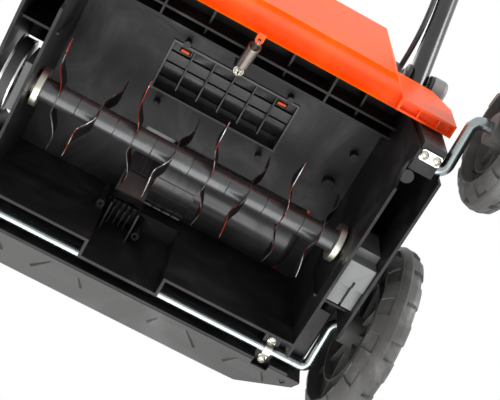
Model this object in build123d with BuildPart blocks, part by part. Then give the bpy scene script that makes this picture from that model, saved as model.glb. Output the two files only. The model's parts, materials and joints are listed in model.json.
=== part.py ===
from build123d import *
import os
from math import acos, asin, cos, radians, sin, sqrt, tan

# Battery lawn scarifier: a walk-behind machine that combs moss and dead grass out of a lawn.
# Units are millimetres. +X is the operator's left, +Y points back to the operator, +Z is up.
# The origin is on the ground, under the middle of the machine's outline.
# Heights and distances below that carry no other note are measured from the rotor's axis.

# Rotor
blade_count = 8
blade_pitch = 41.0
blade_reach = 71.0  # axis to blade tip
blade_thick = 2.0
blade_root_half = 12.5
blade_neck_half = 7.0
blade_leaf_half = 9.5
blade_tip_half = 2.2
blade_set = 10.5  # sideways set of a blade's arms, one to each side
blade_angle = -20.0  # first blade, from the rearward direction
blade_turn = -90.0  # every second blade against the first
shaft_radius = 7.5
sleeve_radius = 11.8
bore_gap = 0.05
disc_radius = 20.0
disc_thick = 2.5

# Chamber and deck
rim_drop = 50.0  # open rim below the axis
ceiling_height = 92.0
wall = 3.0
chamber_rim_half = 171.0
chamber_top_half = 165.0
channel_half = 204.0  # inner face of the outer walls
front_wall = 97.0
baffle_back = 104.5
second_baffle_back = 115.5
baffle_rim = 50.0
baffle_wall = 2.4
deck_back = 146.0
inner_wall_back = 139.0
outer_wall_back = 128.0
outer_wall_front = 68.0
nose_roof = 14.0
nose_back = 113.0
nose_front = 144.0
nose_half = 190.0
nose_side_reach = 199.0
seat_half = 15.5  # of the front rod's seats and saddles, along the machine
saddle_notch = (151.0, 169.0)
notch_left = 54.0
notch_right = -27.0
notch_depth = 19.0
notch_roof = 64.0
web_thick = 2.5
relief_back = 111.0
relief_radius = 17.0
post_length = 14.0
post_radius = 3.6

# Ribbed pocket in the roof
pocket_left = 71.0
pocket_right = -76.0
pocket_front = 22.0
pocket_back = 80.0
pocket_depth = 28.0
pocket_wall = 2.5
pocket_rib_count = 5
pocket_rib_pitch = 24.0
pocket_rib_thick = 2.0

# Motor and its cover
motor_forward = 57.0
motor_height = 104.0
motor_radius = 33.0
motor_left = -16.0
motor_right = -118.0
cover_radius = 41.0
cover_wall = 2.5
cover_right = -143.0
cover_left = 20.0
cover_round = 9.0
duct_left = 53.0
motor_shaft_radius = 4.0

# Belt drive
pulley_right = 184.5
pulley_width = 14.0
flange_thick = 1.2
flange_rise = 3.8
rotor_pulley_radius = 34.0
motor_pulley_radius = 14.0
belt_thick = 3.0
belt_gap = 0.3

# Bearings
bearing_radius = 16.0
bearing_width = 9.0
bearing_left_mid = 178.0
bearing_right_mid = 186.0
housing_half = 26.0
housing_back = 18.0
foot_front = 41.0
foot_back = 9.0
foot_drop = 44.0
foot_step_at = -18.0
housing_seat = 173.5  # inner face of both housings

# Bumper, front axle and wheels
bumper_front = 203.0
bumper_half = 206.0
rod_radius = 6.0
rod_gap = 0.1
crank_length = 58.0
crank_angle = 8.0
crank_side = 206.0
rod_bend = 9.5
front_rod_forward = 134.5
front_rod_drop = 10.0
front_wheel_radius = 102.0
front_wheel_width = 34.0
rear_rod_back = 125.0
rear_rod_drop = 37.0
rear_wheel_radius = 75.0
rear_wheel_width = 32.0
shoulder_drop = 0.176  # how far the tyre falls to its inner face, as a share of its radius
rear_rod_inner = 174.5
wheel_side = 220.0  # inner face of every wheel
rear_wheel_offset = 6.0
hub_radius = 16.0
axle_gap = 0.1
saddle_side = 160.0
saddle_width = 13.0
saddle_thick = 2.0
saddle_hole_half = 12.6
rear_seat_drop = 45.0  # underside of the seats around the rear stub rods
rear_screw_back = rear_rod_back + 9.5
rear_screw_sides = (179.0, 192.0)
axle_tilt_limit = 75.0

# Height lever
lever_thick = 3.0
lever_length = 172.0
lever_angle = 50.0
lever_width = 16.0
lever_hub_radius = 15.0

# Rear flap
flap_front = 148.0
flap_rim = 178.0
flap_top = 142.0
flap_top_back = 186.0
flap_wall = 2.6
flap_trough_rise = 13.0
flap_half = 144.0
flap_corner_side = 23.0
wing_back = 161.0
wing_half = 203.0
wing_top = 94.0
hinge_back = 154.0
hinge_height = 132.0
hinge_rod_radius = 3.0
hinge_gap = 0.1
spring_coil_radius = 6.0
spring_wire = 1.1
spring_side = 1.5
spring_screw_back = 95.0
spring_screw_height = 48.0
spring_lug_back = 143.0
spring_lug_half = 4.2

# Hood and battery
hood_half = 143.5
hood_front = 150.0
hood_back = 143.0
hood_top = 170.0
hood_wall = 2.8
bay_left = 58.0
bay_right = -58.0
bay_front = -12.0
bay_back = 118.0
bay_floor = 122.0
lid_thick = 3.0
bay_hook_sides = (55.0, -58.0)  # two hooks of the bay that reach down through the pocket
bay_hook_half = 4.6
bay_hook_thick = 2.6
bay_window_gap = 1.3
bay_hook_back = 71.0
bay_wall = 2.5
lid_hinge_back = 127.0
lid_pin_radius = 2.0

# Handle
tube_radius = 11.0
handle_angle = 48.0
handle_half = 170.0
pivot_back = 156.0
pivot_height = 113.0
lower_length = 490.0
upper_length = 475.0
tube_bend = 60.0
joint_gap = 0.4
upper_half = handle_half + 2 * tube_radius + joint_gap
grip_radius = 15.0
tube_wall = 1.5
pin_radius = 4.0
pin_gap = 0.08
tube_end = 14.0  # tube past the fold bolts
lever_side = 165.0  # legs of the bail lever
bail_hinge_at = lower_length + upper_length - 120.0  # up the handle from its pivot
box_reach = (45.0, 39.0)  # of the switch box, below and above the bail's hinge
button_drop = 29.0
bail_rise = 58.0
bail_rod_radius = 4.0
crossbar_at = lower_length - 90.0
lead_radius = 3.0
lead_side = -155.7
lead_split_at = lower_length - 50.0
lead_top_drop = 33.0  # end of the lead below the bail's hinge
lead_start = (-142.5, 86.0, 134.0)
lead_start_dir = (-9.5, 29.0, 6.5)

# Screws
screw_radius = 2.0
screw_head_radius = 4.2
screw_head_height = 2.4

# The machine's place in its own frame
tilt = radians(handle_angle)
handle_reach = pivot_back + (lower_length + upper_length) * cos(tilt) + grip_radius
rotor_y = (bumper_front - handle_reach) / 2
rotor_z = front_wheel_radius + front_rod_drop - crank_length * sin(radians(crank_angle))
deck_half = channel_half + wall
deck_top = ceiling_height + wall

os.makedirs("parts", exist_ok=True)


def side_plane(x):
    """Upright plane along the machine at x; local x runs back from the rotor axis, local y up."""
    return Plane(origin=(x, rotor_y, rotor_z), x_dir=(0, 1, 0), z_dir=(1, 0, 0))


def level_plane(z):
    """Level plane at height z over the rotor axis; local x and y are the machine's own."""
    return Plane(origin=(0, rotor_y, rotor_z + z))


def cross_plane(y):
    """Upright plane across the machine at y; local y is up, and extrusions go forward."""
    return Plane(origin=(0, rotor_y + y, rotor_z), x_dir=(1, 0, 0), z_dir=(0, -1, 0))


def spot(x, y, z):
    """A point given from the middle of the rotor's axis."""
    return (x, rotor_y + y, rotor_z + z)


def block(x, y, z, mode=Mode.ADD):
    """A box given by its ranges from the middle of the rotor's axis."""
    with Locations(spot(sum(x) / 2, sum(y) / 2, sum(z) / 2)):
        Box(abs(x[1] - x[0]), abs(y[1] - y[0]), abs(z[1] - z[0]), mode=mode)


def bar_x(x, y, z, radius, mode=Mode.ADD):
    """A round bar along X through y, z."""
    with Locations(Location(spot(sum(x) / 2, y, z), (0, 90, 0))):
        Cylinder(radius, abs(x[1] - x[0]), mode=mode)


def bar_z(x, y, z, radius, mode=Mode.ADD):
    """A round bar along Z through x, y."""
    with Locations(spot(x, y, sum(z) / 2)):
        Cylinder(radius, abs(z[1] - z[0]), mode=mode)


def save(part, name):
    """Label a finished piece and write it to its own file."""
    part.label = name
    export_step(part, f"parts/{name}.step")


def tube_along(points, bends, radius):
    """A round bar along straight runs joined by arcs; points are given from the rotor's axis."""
    with BuildLine() as route:
        FilletPolyline(*[spot(*p) for p in points], radius=bends)
    with BuildSketch(Plane(origin=route.line @ 0, z_dir=route.line % 0)) as profile:
        Circle(radius)
    sweep(sections=profile.sketch, path=route.line)


# ------------------------------------------------------------------ deck
front_rod = (-front_rod_forward, -front_rod_drop)
rear_rod = (rear_rod_back, -rear_rod_drop)
crank = radians(crank_angle)
front_hub = (front_rod[0] + crank_length * cos(crank), front_rod[1] + crank_length * sin(crank))
rear_hub_height = rear_wheel_radius - rotor_z
rear_crank = asin((rear_hub_height + rear_rod_drop) / crank_length)
rear_hub = (rear_rod[0] + crank_length * cos(rear_crank), rear_hub_height)
cover_drop = sqrt(cover_radius**2 - (motor_height - ceiling_height) ** 2)
shaft_hole_radius = disc_radius - 4

with BuildPart() as deck_shell:
    block((-deck_half, deck_half), (-front_wall - wall, deck_back), (ceiling_height, deck_top))
    for side in (-1, 1):
        with BuildSketch(cross_plane(inner_wall_back)):
            with BuildLine():
                Polyline(
                    (side * chamber_rim_half, -rim_drop),
                    (side * (chamber_rim_half + wall), -rim_drop),
                    (side * (chamber_top_half + wall), deck_top),
                    (side * chamber_top_half, deck_top),
                    close=True,
                )
            make_face()
        extrude(amount=inner_wall_back + front_wall + wall)
        inner = side * chamber_rim_half
        outer = side * channel_half
        skin = side * deck_half
        block((outer, skin), (-outer_wall_front, outer_wall_back), (-rim_drop, ceiling_height))
        block((inner, inner + side * wall), (-nose_back, -front_wall), (-rim_drop, nose_roof + wall))
        block((inner, side * nose_side_reach), (-nose_front - wall, -outer_wall_front),
              (nose_roof, nose_roof + wall))
        block((inner, skin), (outer_wall_back - wall, outer_wall_back), (-30.0, ceiling_height))
        with BuildSketch(level_plane(nose_roof)):
            with BuildLine():
                Polyline(
                    (inner, -front_wall - wall),
                    (inner + side * 4, -front_wall - wall),
                    (skin, -outer_wall_front),
                    (outer, -outer_wall_front + 4),
                    (inner, -front_wall + 4),
                    close=True,
                )
            make_face()
        extrude(amount=ceiling_height - nose_roof)
    block((-chamber_rim_half, chamber_rim_half), (-front_wall - wall, -front_wall), (-rim_drop, deck_top))
    block((-nose_half, nose_half), (-nose_front - wall, -front_wall), (nose_roof, nose_roof + wall))
    block((-nose_half, nose_half), (-nose_front - wall, -nose_front), (-22.0, nose_roof))
    # box recess that reaches forward from the front wall
    block((notch_right - wall, notch_left + wall), (-front_wall - notch_depth - wall, -front_wall),
          (-rim_drop, notch_roof + wall))
    block((notch_right, notch_left), (-front_wall - notch_depth, -front_wall + 1),
          (-rim_drop - 1, notch_roof), mode=Mode.SUBTRACT)
    # two cross baffles and the back wall, tied by short webs
    for back, foot in ((baffle_back, baffle_rim), (second_baffle_back, baffle_rim),
                       (deck_back - baffle_wall, baffle_rim + 12)):
        block((-chamber_top_half, chamber_top_half), (back, back + baffle_wall), (foot, ceiling_height))
    for x, foot in ((-124, 62), (-88, baffle_rim), (-41, 62), (48, 62), (95, baffle_rim), (132, 62)):
        block((x - 1.2, x + 1.2), (baffle_back, deck_back), (foot, ceiling_height))
    # webs in the two side channels
    for side, y in ((1, 100.0), (1, 62.0), (-1, -52.0)):
        block((side * (chamber_top_half + 2), side * channel_half), (y, y + web_thick),
              (-24.0, ceiling_height))
    # a round relief in each side wall's rim, with a boss behind it
    for side in (-1, 1):
        bar_x((side * (chamber_top_half + 1), side * (chamber_rim_half + wall + 2)), relief_back,
              -rim_drop - 4, relief_radius, mode=Mode.SUBTRACT)
        bar_z(side * 181.5, 102.0, (-24.0, ceiling_height), 7.0)
    # posts under the roof
    for x, y, fat in ((57, 12, 1.0), (-63, 12, 1.0), (-62, 84, 1.0), (57, 84, 1.0), (-142, 22, 1.9),
                      (-150, 62, 1.2)):
        bar_z(x, y, (ceiling_height - post_length, ceiling_height), post_radius * fat)
    # ribs and screw bosses on the recess
    for x in (notch_left - 4, 20.0):
        block((x - 1, x + 1), (-front_wall - notch_depth, -front_wall), (20.0, notch_roof + wall))
        block((x - 1, x + 1), (-front_wall, -82.0), (20.0, 52.0))
    for x in (27.0, 33.0, 39.0, 45.0):
        block((x - 0.8, x + 0.8), (-front_wall - notch_depth, -front_wall), (46.0, notch_roof + wall))
    for x, y in ((60.0, -89.0), (13.0, -105.0)):
        bar_z(x, y, (20.0, notch_roof + wall), 4.2)
        bar_z(x, y, (15.0, 50.0), 2.0, mode=Mode.SUBTRACT)
    block((56.0, 64.0), (-front_wall, -89.0), (24.0, notch_roof))
    # seats for the front rod and for the two rear stub rods
    for side in (-1, 1):
        block((side * (saddle_side - 9), side * (saddle_side + 9)),
              (-front_rod_forward - seat_half, -front_rod_forward + seat_half),
              (-front_rod_drop, nose_roof))
        block((side * saddle_notch[0], side * saddle_notch[1]), (-nose_front - wall - 1, -nose_front + 1),
              (-26.0, -front_rod_drop), mode=Mode.SUBTRACT)
        block((side * (chamber_rim_half + wall - 1), side * 197), (rear_rod_back - 9, rear_rod_back + 21),
              (-rear_seat_drop, 8.0))
        block((side * (chamber_rim_half + wall - 1), side * 197), (outer_wall_back - 3, rear_rod_back + 21),
              (-rear_seat_drop, ceiling_height))
        bar_x((side * 140, side * 199), *front_rod, rod_radius + rod_gap, mode=Mode.SUBTRACT)
        bar_x((side * 173, side * 199), *rear_rod, rod_radius + rod_gap, mode=Mode.SUBTRACT)
        block((side * (chamber_rim_half - 1), side * housing_seat), (-housing_half, housing_half),
              (-housing_half, housing_half))
        bar_x((side * 160, side * housing_seat), 0, 0, shaft_hole_radius, mode=Mode.SUBTRACT)
        # ears that carry the flap's hinge rod
        block((side * 145, side * 151), (128.0, deck_back), (ceiling_height, hinge_height + 7))
        block((side * 145, side * 151), (deck_back - 1, hinge_back + 6), (deck_top + 0.5, hinge_height + 7))
        bar_x((side * 144, side * 152), hinge_back, hinge_height, hinge_rod_radius, mode=Mode.SUBTRACT)
        for shift in (-saddle_hole_half, saddle_hole_half):
            bar_z(side * saddle_side, -front_rod_forward + shift, (-12.0, 6.0), screw_radius,
                  mode=Mode.SUBTRACT)
        for x in rear_screw_sides:
            bar_z(side * x, rear_screw_back, (-rear_seat_drop - 1, -rear_seat_drop + 17), screw_radius,
                  mode=Mode.SUBTRACT)
        # slot in the outer wall for the rear stub rod
        block((side * (channel_half - 1), side * (deck_half + 1)), (rear_rod_back - 7, outer_wall_back + 1),
              (-rim_drop - 1, rod_radius - rear_rod_drop + 1), mode=Mode.SUBTRACT)
    # openings for the pocket, the motor cover and the belt
    block((pocket_right, pocket_left), (pocket_front, pocket_back), (ceiling_height - 1, deck_top + 1),
          mode=Mode.SUBTRACT)
    block((cover_right, duct_left), (-motor_forward - cover_drop, -motor_forward + cover_drop),
          (ceiling_height - 1, deck_top + 1), mode=Mode.SUBTRACT)
    block((chamber_rim_half + wall, channel_half), (-motor_forward - 22, 10),
          (ceiling_height - 1, deck_top + 1), mode=Mode.SUBTRACT)
    # boss for the flap spring's screw
    bar_z(spring_side, spring_screw_back, (spring_screw_height, ceiling_height), 6.5)
    bar_z(spring_side, spring_screw_back, (spring_screw_height - 1, spring_screw_height + 20),
          screw_radius, mode=Mode.SUBTRACT)
save(deck_shell.part, "deck_shell")

# the ribbed pocket let into the roof
with BuildPart() as ribbed_pocket:
    with BuildSketch(side_plane(pocket_right)):
        with BuildLine():
            Polyline(
                (pocket_front, ceiling_height - 2),
                (pocket_front, ceiling_height + pocket_depth),
                (pocket_back, ceiling_height + pocket_depth),
                (pocket_back, ceiling_height - 2),
                close=True,
            )
        make_face()
    extrude(amount=pocket_left - pocket_right)
    with BuildSketch(side_plane(pocket_right + pocket_wall)):
        with BuildLine():
            floor_back = pocket_front + 31
            l1 = Polyline(
                (pocket_front + pocket_wall, ceiling_height - 3),
                (pocket_front + pocket_wall, ceiling_height + pocket_depth - pocket_wall),
                (pocket_front + 8, ceiling_height + pocket_depth - pocket_wall),
            )
            l2 = ThreePointArc(
                l1 @ 1, (pocket_front + 16, ceiling_height + 11), (floor_back, ceiling_height + 5)
            )
            Polyline(
                l2 @ 1,
                (floor_back, ceiling_height + 14),
                (floor_back + 2, ceiling_height + 14),
                (floor_back + 2, ceiling_height + 4),
                (floor_back + 13, ceiling_height + 3),
                (floor_back + 13, ceiling_height + 14),
                (floor_back + 15, ceiling_height + 14),
                (floor_back + 15, ceiling_height + 3),
                (pocket_back - pocket_wall, ceiling_height + 1),
                (pocket_back - pocket_wall, ceiling_height - 3),
                l1 @ 0,
            )
        make_face()
    extrude(amount=pocket_left - pocket_right - 2 * pocket_wall, mode=Mode.SUBTRACT)
    rib_mid = (pocket_left + pocket_right) / 2
    for i in range(pocket_rib_count):
        x = rib_mid + (i - (pocket_rib_count - 1) / 2) * pocket_rib_pitch
        block((x - pocket_rib_thick / 2, x + pocket_rib_thick / 2), (pocket_front + 9, pocket_back - 1),
              (ceiling_height - 1, ceiling_height + pocket_depth - pocket_wall))
    for near, far in ((floor_back + 4.5, floor_back + 10.5), (floor_back + 17.5, pocket_back - pocket_wall)):
        block((pocket_right + pocket_wall, pocket_left - pocket_wall), (near, far),
              (ceiling_height + 8, ceiling_height + pocket_depth + 1), mode=Mode.SUBTRACT)
    for x in bay_hook_sides:
        block((x - bay_hook_half - bay_window_gap, x + bay_hook_half + bay_window_gap),
              (bay_hook_back - bay_window_gap, bay_hook_back + bay_hook_thick + bay_window_gap),
              (ceiling_height - 3, ceiling_height + pocket_depth + 1), mode=Mode.SUBTRACT)
save(ribbed_pocket.part, "ribbed_pocket")

# motor cover: a rounded belly under the roof, a ribbed stretch and a duct panel beside it
with BuildPart() as motor_cover:
    with BuildSketch(side_plane(cover_right)):
        with Locations((-motor_forward, motor_height)):
            Circle(cover_radius)
        with Locations((-motor_forward, ceiling_height + cover_radius)):
            Rectangle(4 * cover_radius, 2 * cover_radius, mode=Mode.SUBTRACT)
        with Locations((-motor_forward, ceiling_height + wall / 2)):
            Rectangle(2 * cover_drop, wall)
    extrude(amount=cover_left - cover_right)
    end_edges = motor_cover.faces().sort_by(Axis.X)[0].edges().filter_by(GeomType.CIRCLE)
    fillet(end_edges, cover_round)
    with BuildSketch(side_plane(cover_left)):
        with BuildLine():
            Polyline(
                (-motor_forward - cover_drop, deck_top),
                (-motor_forward - cover_drop, notch_roof + wall + 1),
                (-motor_forward - 27, 56.0),
                (-motor_forward + 3, ceiling_height),
                (-motor_forward + cover_drop, ceiling_height),
                (-motor_forward + cover_drop, deck_top),
                close=True,
            )
        make_face()
    extrude(amount=duct_left - cover_left)
    # raised lattice on the belly
    for x in (-25.0, -14.0, -3.0, 8.0, cover_left - 1):
        with BuildSketch(side_plane(x)):
            with Locations((-motor_forward, motor_height)):
                Circle(cover_radius + 1.6)
                Circle(cover_radius - 1, mode=Mode.SUBTRACT)
            with Locations((-motor_forward, ceiling_height - 4 + cover_radius)):
                Rectangle(4 * cover_radius, 2 * cover_radius, mode=Mode.SUBTRACT)
        extrude(amount=1.4)
    for turn in (205.0, 228.0, 252.0, 276.0, 300.0):
        with BuildSketch(side_plane(-25.0)):
            with Locations((-motor_forward, motor_height)):
                with PolarLocations(cover_radius + 0.3, 1, start_angle=turn):
                    Rectangle(2.6, 1.4)
        extrude(amount=cover_left + 25.0)
    with BuildSketch(side_plane(cover_right + cover_round)):
        with Locations((-motor_forward, motor_height)):
            Circle(cover_radius - cover_wall)
    extrude(amount=cover_left - cover_right - cover_round, mode=Mode.SUBTRACT)
    block((cover_left - 1, duct_left - cover_wall), (-motor_forward - cover_drop + 4, -motor_forward + 30),
          (ceiling_height - 2, deck_top + 1), mode=Mode.SUBTRACT)
save(motor_cover.part, "motor_cover")

# bearing housings, screwed to the outside of the chamber walls
with BuildPart() as bearing_housings:
    foot = (-channel_half + 0.3, -housing_seat - 1.5)
    block((-channel_half + 0.3, -housing_seat), (-housing_half, housing_back), (-housing_half, housing_half))
    block(foot, (-foot_front, foot_back), (-foot_drop, -housing_half))
    block((foot[0] - 1, foot[1] + 1), (-foot_front - 1, foot_step_at), (-foot_drop - 1, -foot_drop + 3),
          mode=Mode.SUBTRACT)
    block((sum(foot) / 2 - 2.2, sum(foot) / 2), (-foot_front - 1, foot_step_at + 7),
          (-foot_drop - 1, -foot_drop + 11), mode=Mode.SUBTRACT)
    bar_x((-channel_half, -housing_seat), 0, 0, shaft_radius + 1.5, mode=Mode.SUBTRACT)
    bar_x((-bearing_right_mid - bearing_width / 2, -housing_seat), 0, 0, bearing_radius, mode=Mode.SUBTRACT)
    block((housing_seat, pulley_right - 1.5), (-housing_half, housing_half), (-housing_half, housing_half))
    bar_x((housing_seat, channel_half), 0, 0, bearing_radius, mode=Mode.SUBTRACT)
save(bearing_housings.part, "bearing_housings")

with BuildPart() as bearings:
    for middle in (-bearing_right_mid, bearing_left_mid):
        bar_x((middle - bearing_width / 2, middle + bearing_width / 2), 0, 0, bearing_radius)
        for face in (-1, 1):
            with BuildSketch(side_plane(middle + face * bearing_width / 2)):
                Circle(bearing_radius - 3)
                Circle(shaft_radius + 2, mode=Mode.SUBTRACT)
            extrude(amount=-face * 1.0, mode=Mode.SUBTRACT)
        bar_x((middle - bearing_width, middle + bearing_width), 0, 0, shaft_radius + bore_gap,
              mode=Mode.SUBTRACT)
save(bearings.part, "bearings")

# ------------------------------------------------------------------ rotor
shaft_end = pulley_right + pulley_width + 1

with BuildPart() as rotor_shaft:
    bar_x((-channel_half + 6, shaft_end), 0, 0, shaft_radius)
    chamfer(rotor_shaft.edges().filter_by(GeomType.CIRCLE), 1.0)
save(rotor_shaft.part, "rotor_shaft")

first_blade = blade_pitch * (blade_count - 1) / 2


def make_blade(x, turn):
    """A double-ended blade at x: a flat hub, two arms set off to opposite sides, a leaf outline."""
    along = (0, cos(turn), sin(turn))
    across = (0, -sin(turn), cos(turn))
    with BuildPart() as blade:
        with BuildSketch(Plane(origin=spot(x, 0, 0), x_dir=along, z_dir=across)):
            with BuildLine():
                Polyline((-blade_reach, blade_set + 0.5), (-31, blade_set - 2), (-15, 0), (15, 0),
                         (31, -blade_set + 2), (blade_reach, -blade_set - 0.5))
                offset(amount=blade_thick / 2, kind=Kind.INTERSECTION)
            make_face()
        extrude(amount=blade_root_half + 2, both=True)
        with BuildSketch(Plane(origin=spot(x, 0, 0), x_dir=along, z_dir=(1, 0, 0))):
            with BuildLine():
                upper = Spline((0, blade_root_half), (31, blade_neck_half), (48, blade_leaf_half),
                               (blade_reach - 1, blade_tip_half), tangents=((1, 0), (1, -0.6)))
                Line((blade_reach - 1, blade_tip_half), (blade_reach - 1, -blade_tip_half))
                mirror(upper, about=Plane.XZ)
                Line((0, blade_root_half), (0, -blade_root_half))
            make_face()
            mirror(about=Plane.YZ)
        extrude(amount=blade_set + 6, both=True, mode=Mode.INTERSECT)
        bar_x((x - 3, x + 3), 0, 0, shaft_radius + bore_gap, mode=Mode.SUBTRACT)
    return blade.part


for name, first in (("blades_outer_set", 0), ("blades_inner_set", 1)):
    turn = radians(blade_angle + first * blade_turn)
    blades = [make_blade(first_blade - i * blade_pitch, turn) for i in range(first, blade_count, 2)]
    save(Compound(blades), name)

with BuildPart() as spacer_sleeves:
    for i in range(blade_count):
        x = first_blade - i * blade_pitch
        for side in (-1, 1):
            near = x + side * (blade_thick / 2 + 0.1)
            far = x + side * (blade_pitch / 2 - 0.15)
            bar_x((near, far), 0, 0, sleeve_radius)
    bar_x((-first_blade - blade_pitch, first_blade + blade_pitch), 0, 0, shaft_radius + bore_gap,
          mode=Mode.SUBTRACT)
save(spacer_sleeves.part, "spacer_sleeves")

sleeve_end = first_blade + blade_pitch / 2
with BuildPart() as end_discs:
    for side in (-1, 1):
        bar_x((side * sleeve_end, side * (sleeve_end + disc_thick)), 0, 0, disc_radius)
        bar_x((side * sleeve_end, side * (sleeve_end + disc_thick + 2.5)), 0, 0, shaft_radius + 4)
    bar_x((-channel_half, channel_half), 0, 0, shaft_radius + bore_gap, mode=Mode.SUBTRACT)
save(end_discs.part, "end_discs")


def pulley(radius, bore, y, z):
    """A flanged belt pulley about X through y, z."""
    left = pulley_right + pulley_width
    bar_x((pulley_right, left), y, z, radius)
    bar_x((pulley_right, pulley_right + flange_thick), y, z, radius + flange_rise)
    bar_x((left - flange_thick, left), y, z, radius + flange_rise)
    bar_x((pulley_right - 1, left + 1), y, z, bore + bore_gap, mode=Mode.SUBTRACT)


with BuildPart() as rotor_pulley:
    pulley(rotor_pulley_radius, shaft_radius, 0, 0)
save(rotor_pulley.part, "rotor_pulley")

with BuildPart() as motor_pulley:
    pulley(motor_pulley_radius, motor_shaft_radius, -motor_forward, motor_height)
save(motor_pulley.part, "motor_pulley")

with BuildPart() as drive_belt:
    for grow, mode in ((belt_gap + belt_thick, Mode.ADD), (belt_gap, Mode.SUBTRACT)):
        with BuildSketch(side_plane(pulley_right + 2 * flange_thick)):
            Circle(rotor_pulley_radius + grow)
            with Locations((-motor_forward, motor_height)):
                Circle(motor_pulley_radius + grow)
            make_hull()
        extrude(amount=pulley_width - 4 * flange_thick, mode=mode)
save(drive_belt.part, "drive_belt")

# ------------------------------------------------------------------ motor
with BuildPart() as motor_can:
    bar_x((motor_right, motor_left), -motor_forward, motor_height, motor_radius)
    for x in (motor_right + 8, motor_left - 14):
        bar_x((x, x + 6), -motor_forward, motor_height, cover_radius - cover_wall - 0.1)
    bar_x((motor_right - 1, motor_left + 1), -motor_forward, motor_height,
          motor_shaft_radius + bore_gap, mode=Mode.SUBTRACT)
save(motor_can.part, "motor_can")

with BuildPart() as motor_shaft:
    bar_x((motor_right - 6, shaft_end), -motor_forward, motor_height, motor_shaft_radius)
save(motor_shaft.part, "motor_shaft")

fan_radius = 26.0
with BuildPart() as motor_fan:
    bar_x((motor_left + 8, motor_left + 10), -motor_forward, motor_height, fan_radius)
    bar_x((motor_left + 8, motor_left + 22), -motor_forward, motor_height, 9.0)
    with BuildSketch(side_plane(motor_left + 9)):
        with Locations((-motor_forward, motor_height)):
            with PolarLocations((fan_radius + 8) / 2, 8):
                Rectangle(fan_radius - 9, 1.6)
    extrude(amount=12)
    bar_x((motor_left, motor_left + 30), -motor_forward, motor_height, motor_shaft_radius + bore_gap,
          mode=Mode.SUBTRACT)
save(motor_fan.part, "motor_fan")

support_right = 158.0
with BuildPart() as shaft_support:
    block((support_right, support_right + 9), (-motor_forward - 14, -motor_forward + 14),
          (deck_top, motor_height + 12))
    bar_x((support_right - 1, support_right + 10), -motor_forward, motor_height,
          motor_shaft_radius + bore_gap, mode=Mode.SUBTRACT)
save(shaft_support.part, "shaft_support")

# ------------------------------------------------------------------ nose and bumper
nose_profile = [(-nose_front - wall - 0.3, -22.0), (-186.0, -8.0), (-199.0, 14.0), (-bumper_front, 34.0),
                (-198.0, 62.0), (-172.0, 84.0), (-160.0, deck_top), (-front_wall - wall - 0.3, deck_top),
                (-front_wall - wall - 0.3, deck_top - 12), (-nose_front - wall - 0.3, deck_top - 12)]
with BuildPart() as front_bumper:
    with BuildSketch(side_plane(-bumper_half)):
        with BuildLine():
            Polyline(*nose_profile, close=True)
        make_face()
    extrude(amount=2 * bumper_half)
    with BuildSketch(level_plane(-rim_drop)):
        with BuildLine():
            half_plan = [(197.0, -90.0), (197.0, -143.0), (bumper_half, -144.0), (bumper_half, -150.0),
                         (202.0, -159.0), (147.0, -187.0), (112.0, -bumper_front)]
            Polyline(*half_plan, *[(-x, y) for x, y in reversed(half_plan)], close=True)
        make_face()
    extrude(amount=ceiling_height + 2 * rim_drop, mode=Mode.INTERSECT)
    with BuildSketch(side_plane(-nose_half + 2)):
        with BuildLine():
            Polyline((-nose_front - wall + 1, -18.5), (-182.0, -4.5), (-194.0, 18.0), (-197.0, 34.0),
                     (-193.0, 58.0), (-170.0, 79.0), (-157.0, deck_top - 3.5), (-90.0, deck_top - 3.5),
                     (-90.0, deck_top - 13), (-nose_front - wall + 1, deck_top - 13), close=True)
        make_face()
    extrude(amount=2 * nose_half - 4, mode=Mode.SUBTRACT)
    for side in (-1, 1):
        block((side * saddle_notch[0], side * saddle_notch[1]), (-front_rod_forward - 19, -nose_front),
              (-26.0, -8.0), mode=Mode.SUBTRACT)
save(front_bumper.part, "front_bumper")

# ------------------------------------------------------------------ axles and wheels
axle_past_wheel = 1.5
front_axle_end = wheel_side + front_wheel_width + axle_past_wheel
rear_wheel_side = wheel_side + rear_wheel_offset
rear_axle_end = rear_wheel_side + rear_wheel_width + axle_past_wheel

with BuildPart() as front_axle:
    tube_along(
        [(-front_axle_end, *front_hub), (-crank_side, *front_hub), (-crank_side, *front_rod),
         (crank_side, *front_rod), (crank_side, *front_hub), (front_axle_end, *front_hub)],
        rod_bend, rod_radius)
save(front_axle.part, "front_axle")

with BuildPart() as rear_axles:
    for side in (-1, 1):
        tube_along(
            [(side * rear_rod_inner, *rear_rod), (side * crank_side, *rear_rod),
             (side * crank_side, *rear_hub), (side * rear_axle_end, *rear_hub)], rod_bend, rod_radius)
save(rear_axles.part, "rear_axles")

saddle_radius = rod_radius + rod_gap + saddle_thick
with BuildPart() as front_saddles:
    for side in (-1, 1):
        x_range = (side * saddle_side - saddle_width / 2, side * saddle_side + saddle_width / 2)
        bar_x(x_range, *front_rod, saddle_radius)
        block(x_range, (front_rod[0] - seat_half - 1.5, front_rod[0] + seat_half + 1.5),
              (front_rod[1] - saddle_thick, front_rod[1]))
        block(x_range, (front_rod[0] - 12, front_rod[0] + 12), (front_rod[1], front_rod[1] + 12),
              mode=Mode.SUBTRACT)
        bar_x(x_range, *front_rod, rod_radius + rod_gap, mode=Mode.SUBTRACT)
        for shift in (-saddle_hole_half, saddle_hole_half):
            bar_z(side * saddle_side, front_rod[0] + shift, (front_rod[1] - 4, front_rod[1] + 1),
                  screw_radius, mode=Mode.SUBTRACT)
save(front_saddles.part, "front_saddles")

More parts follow.
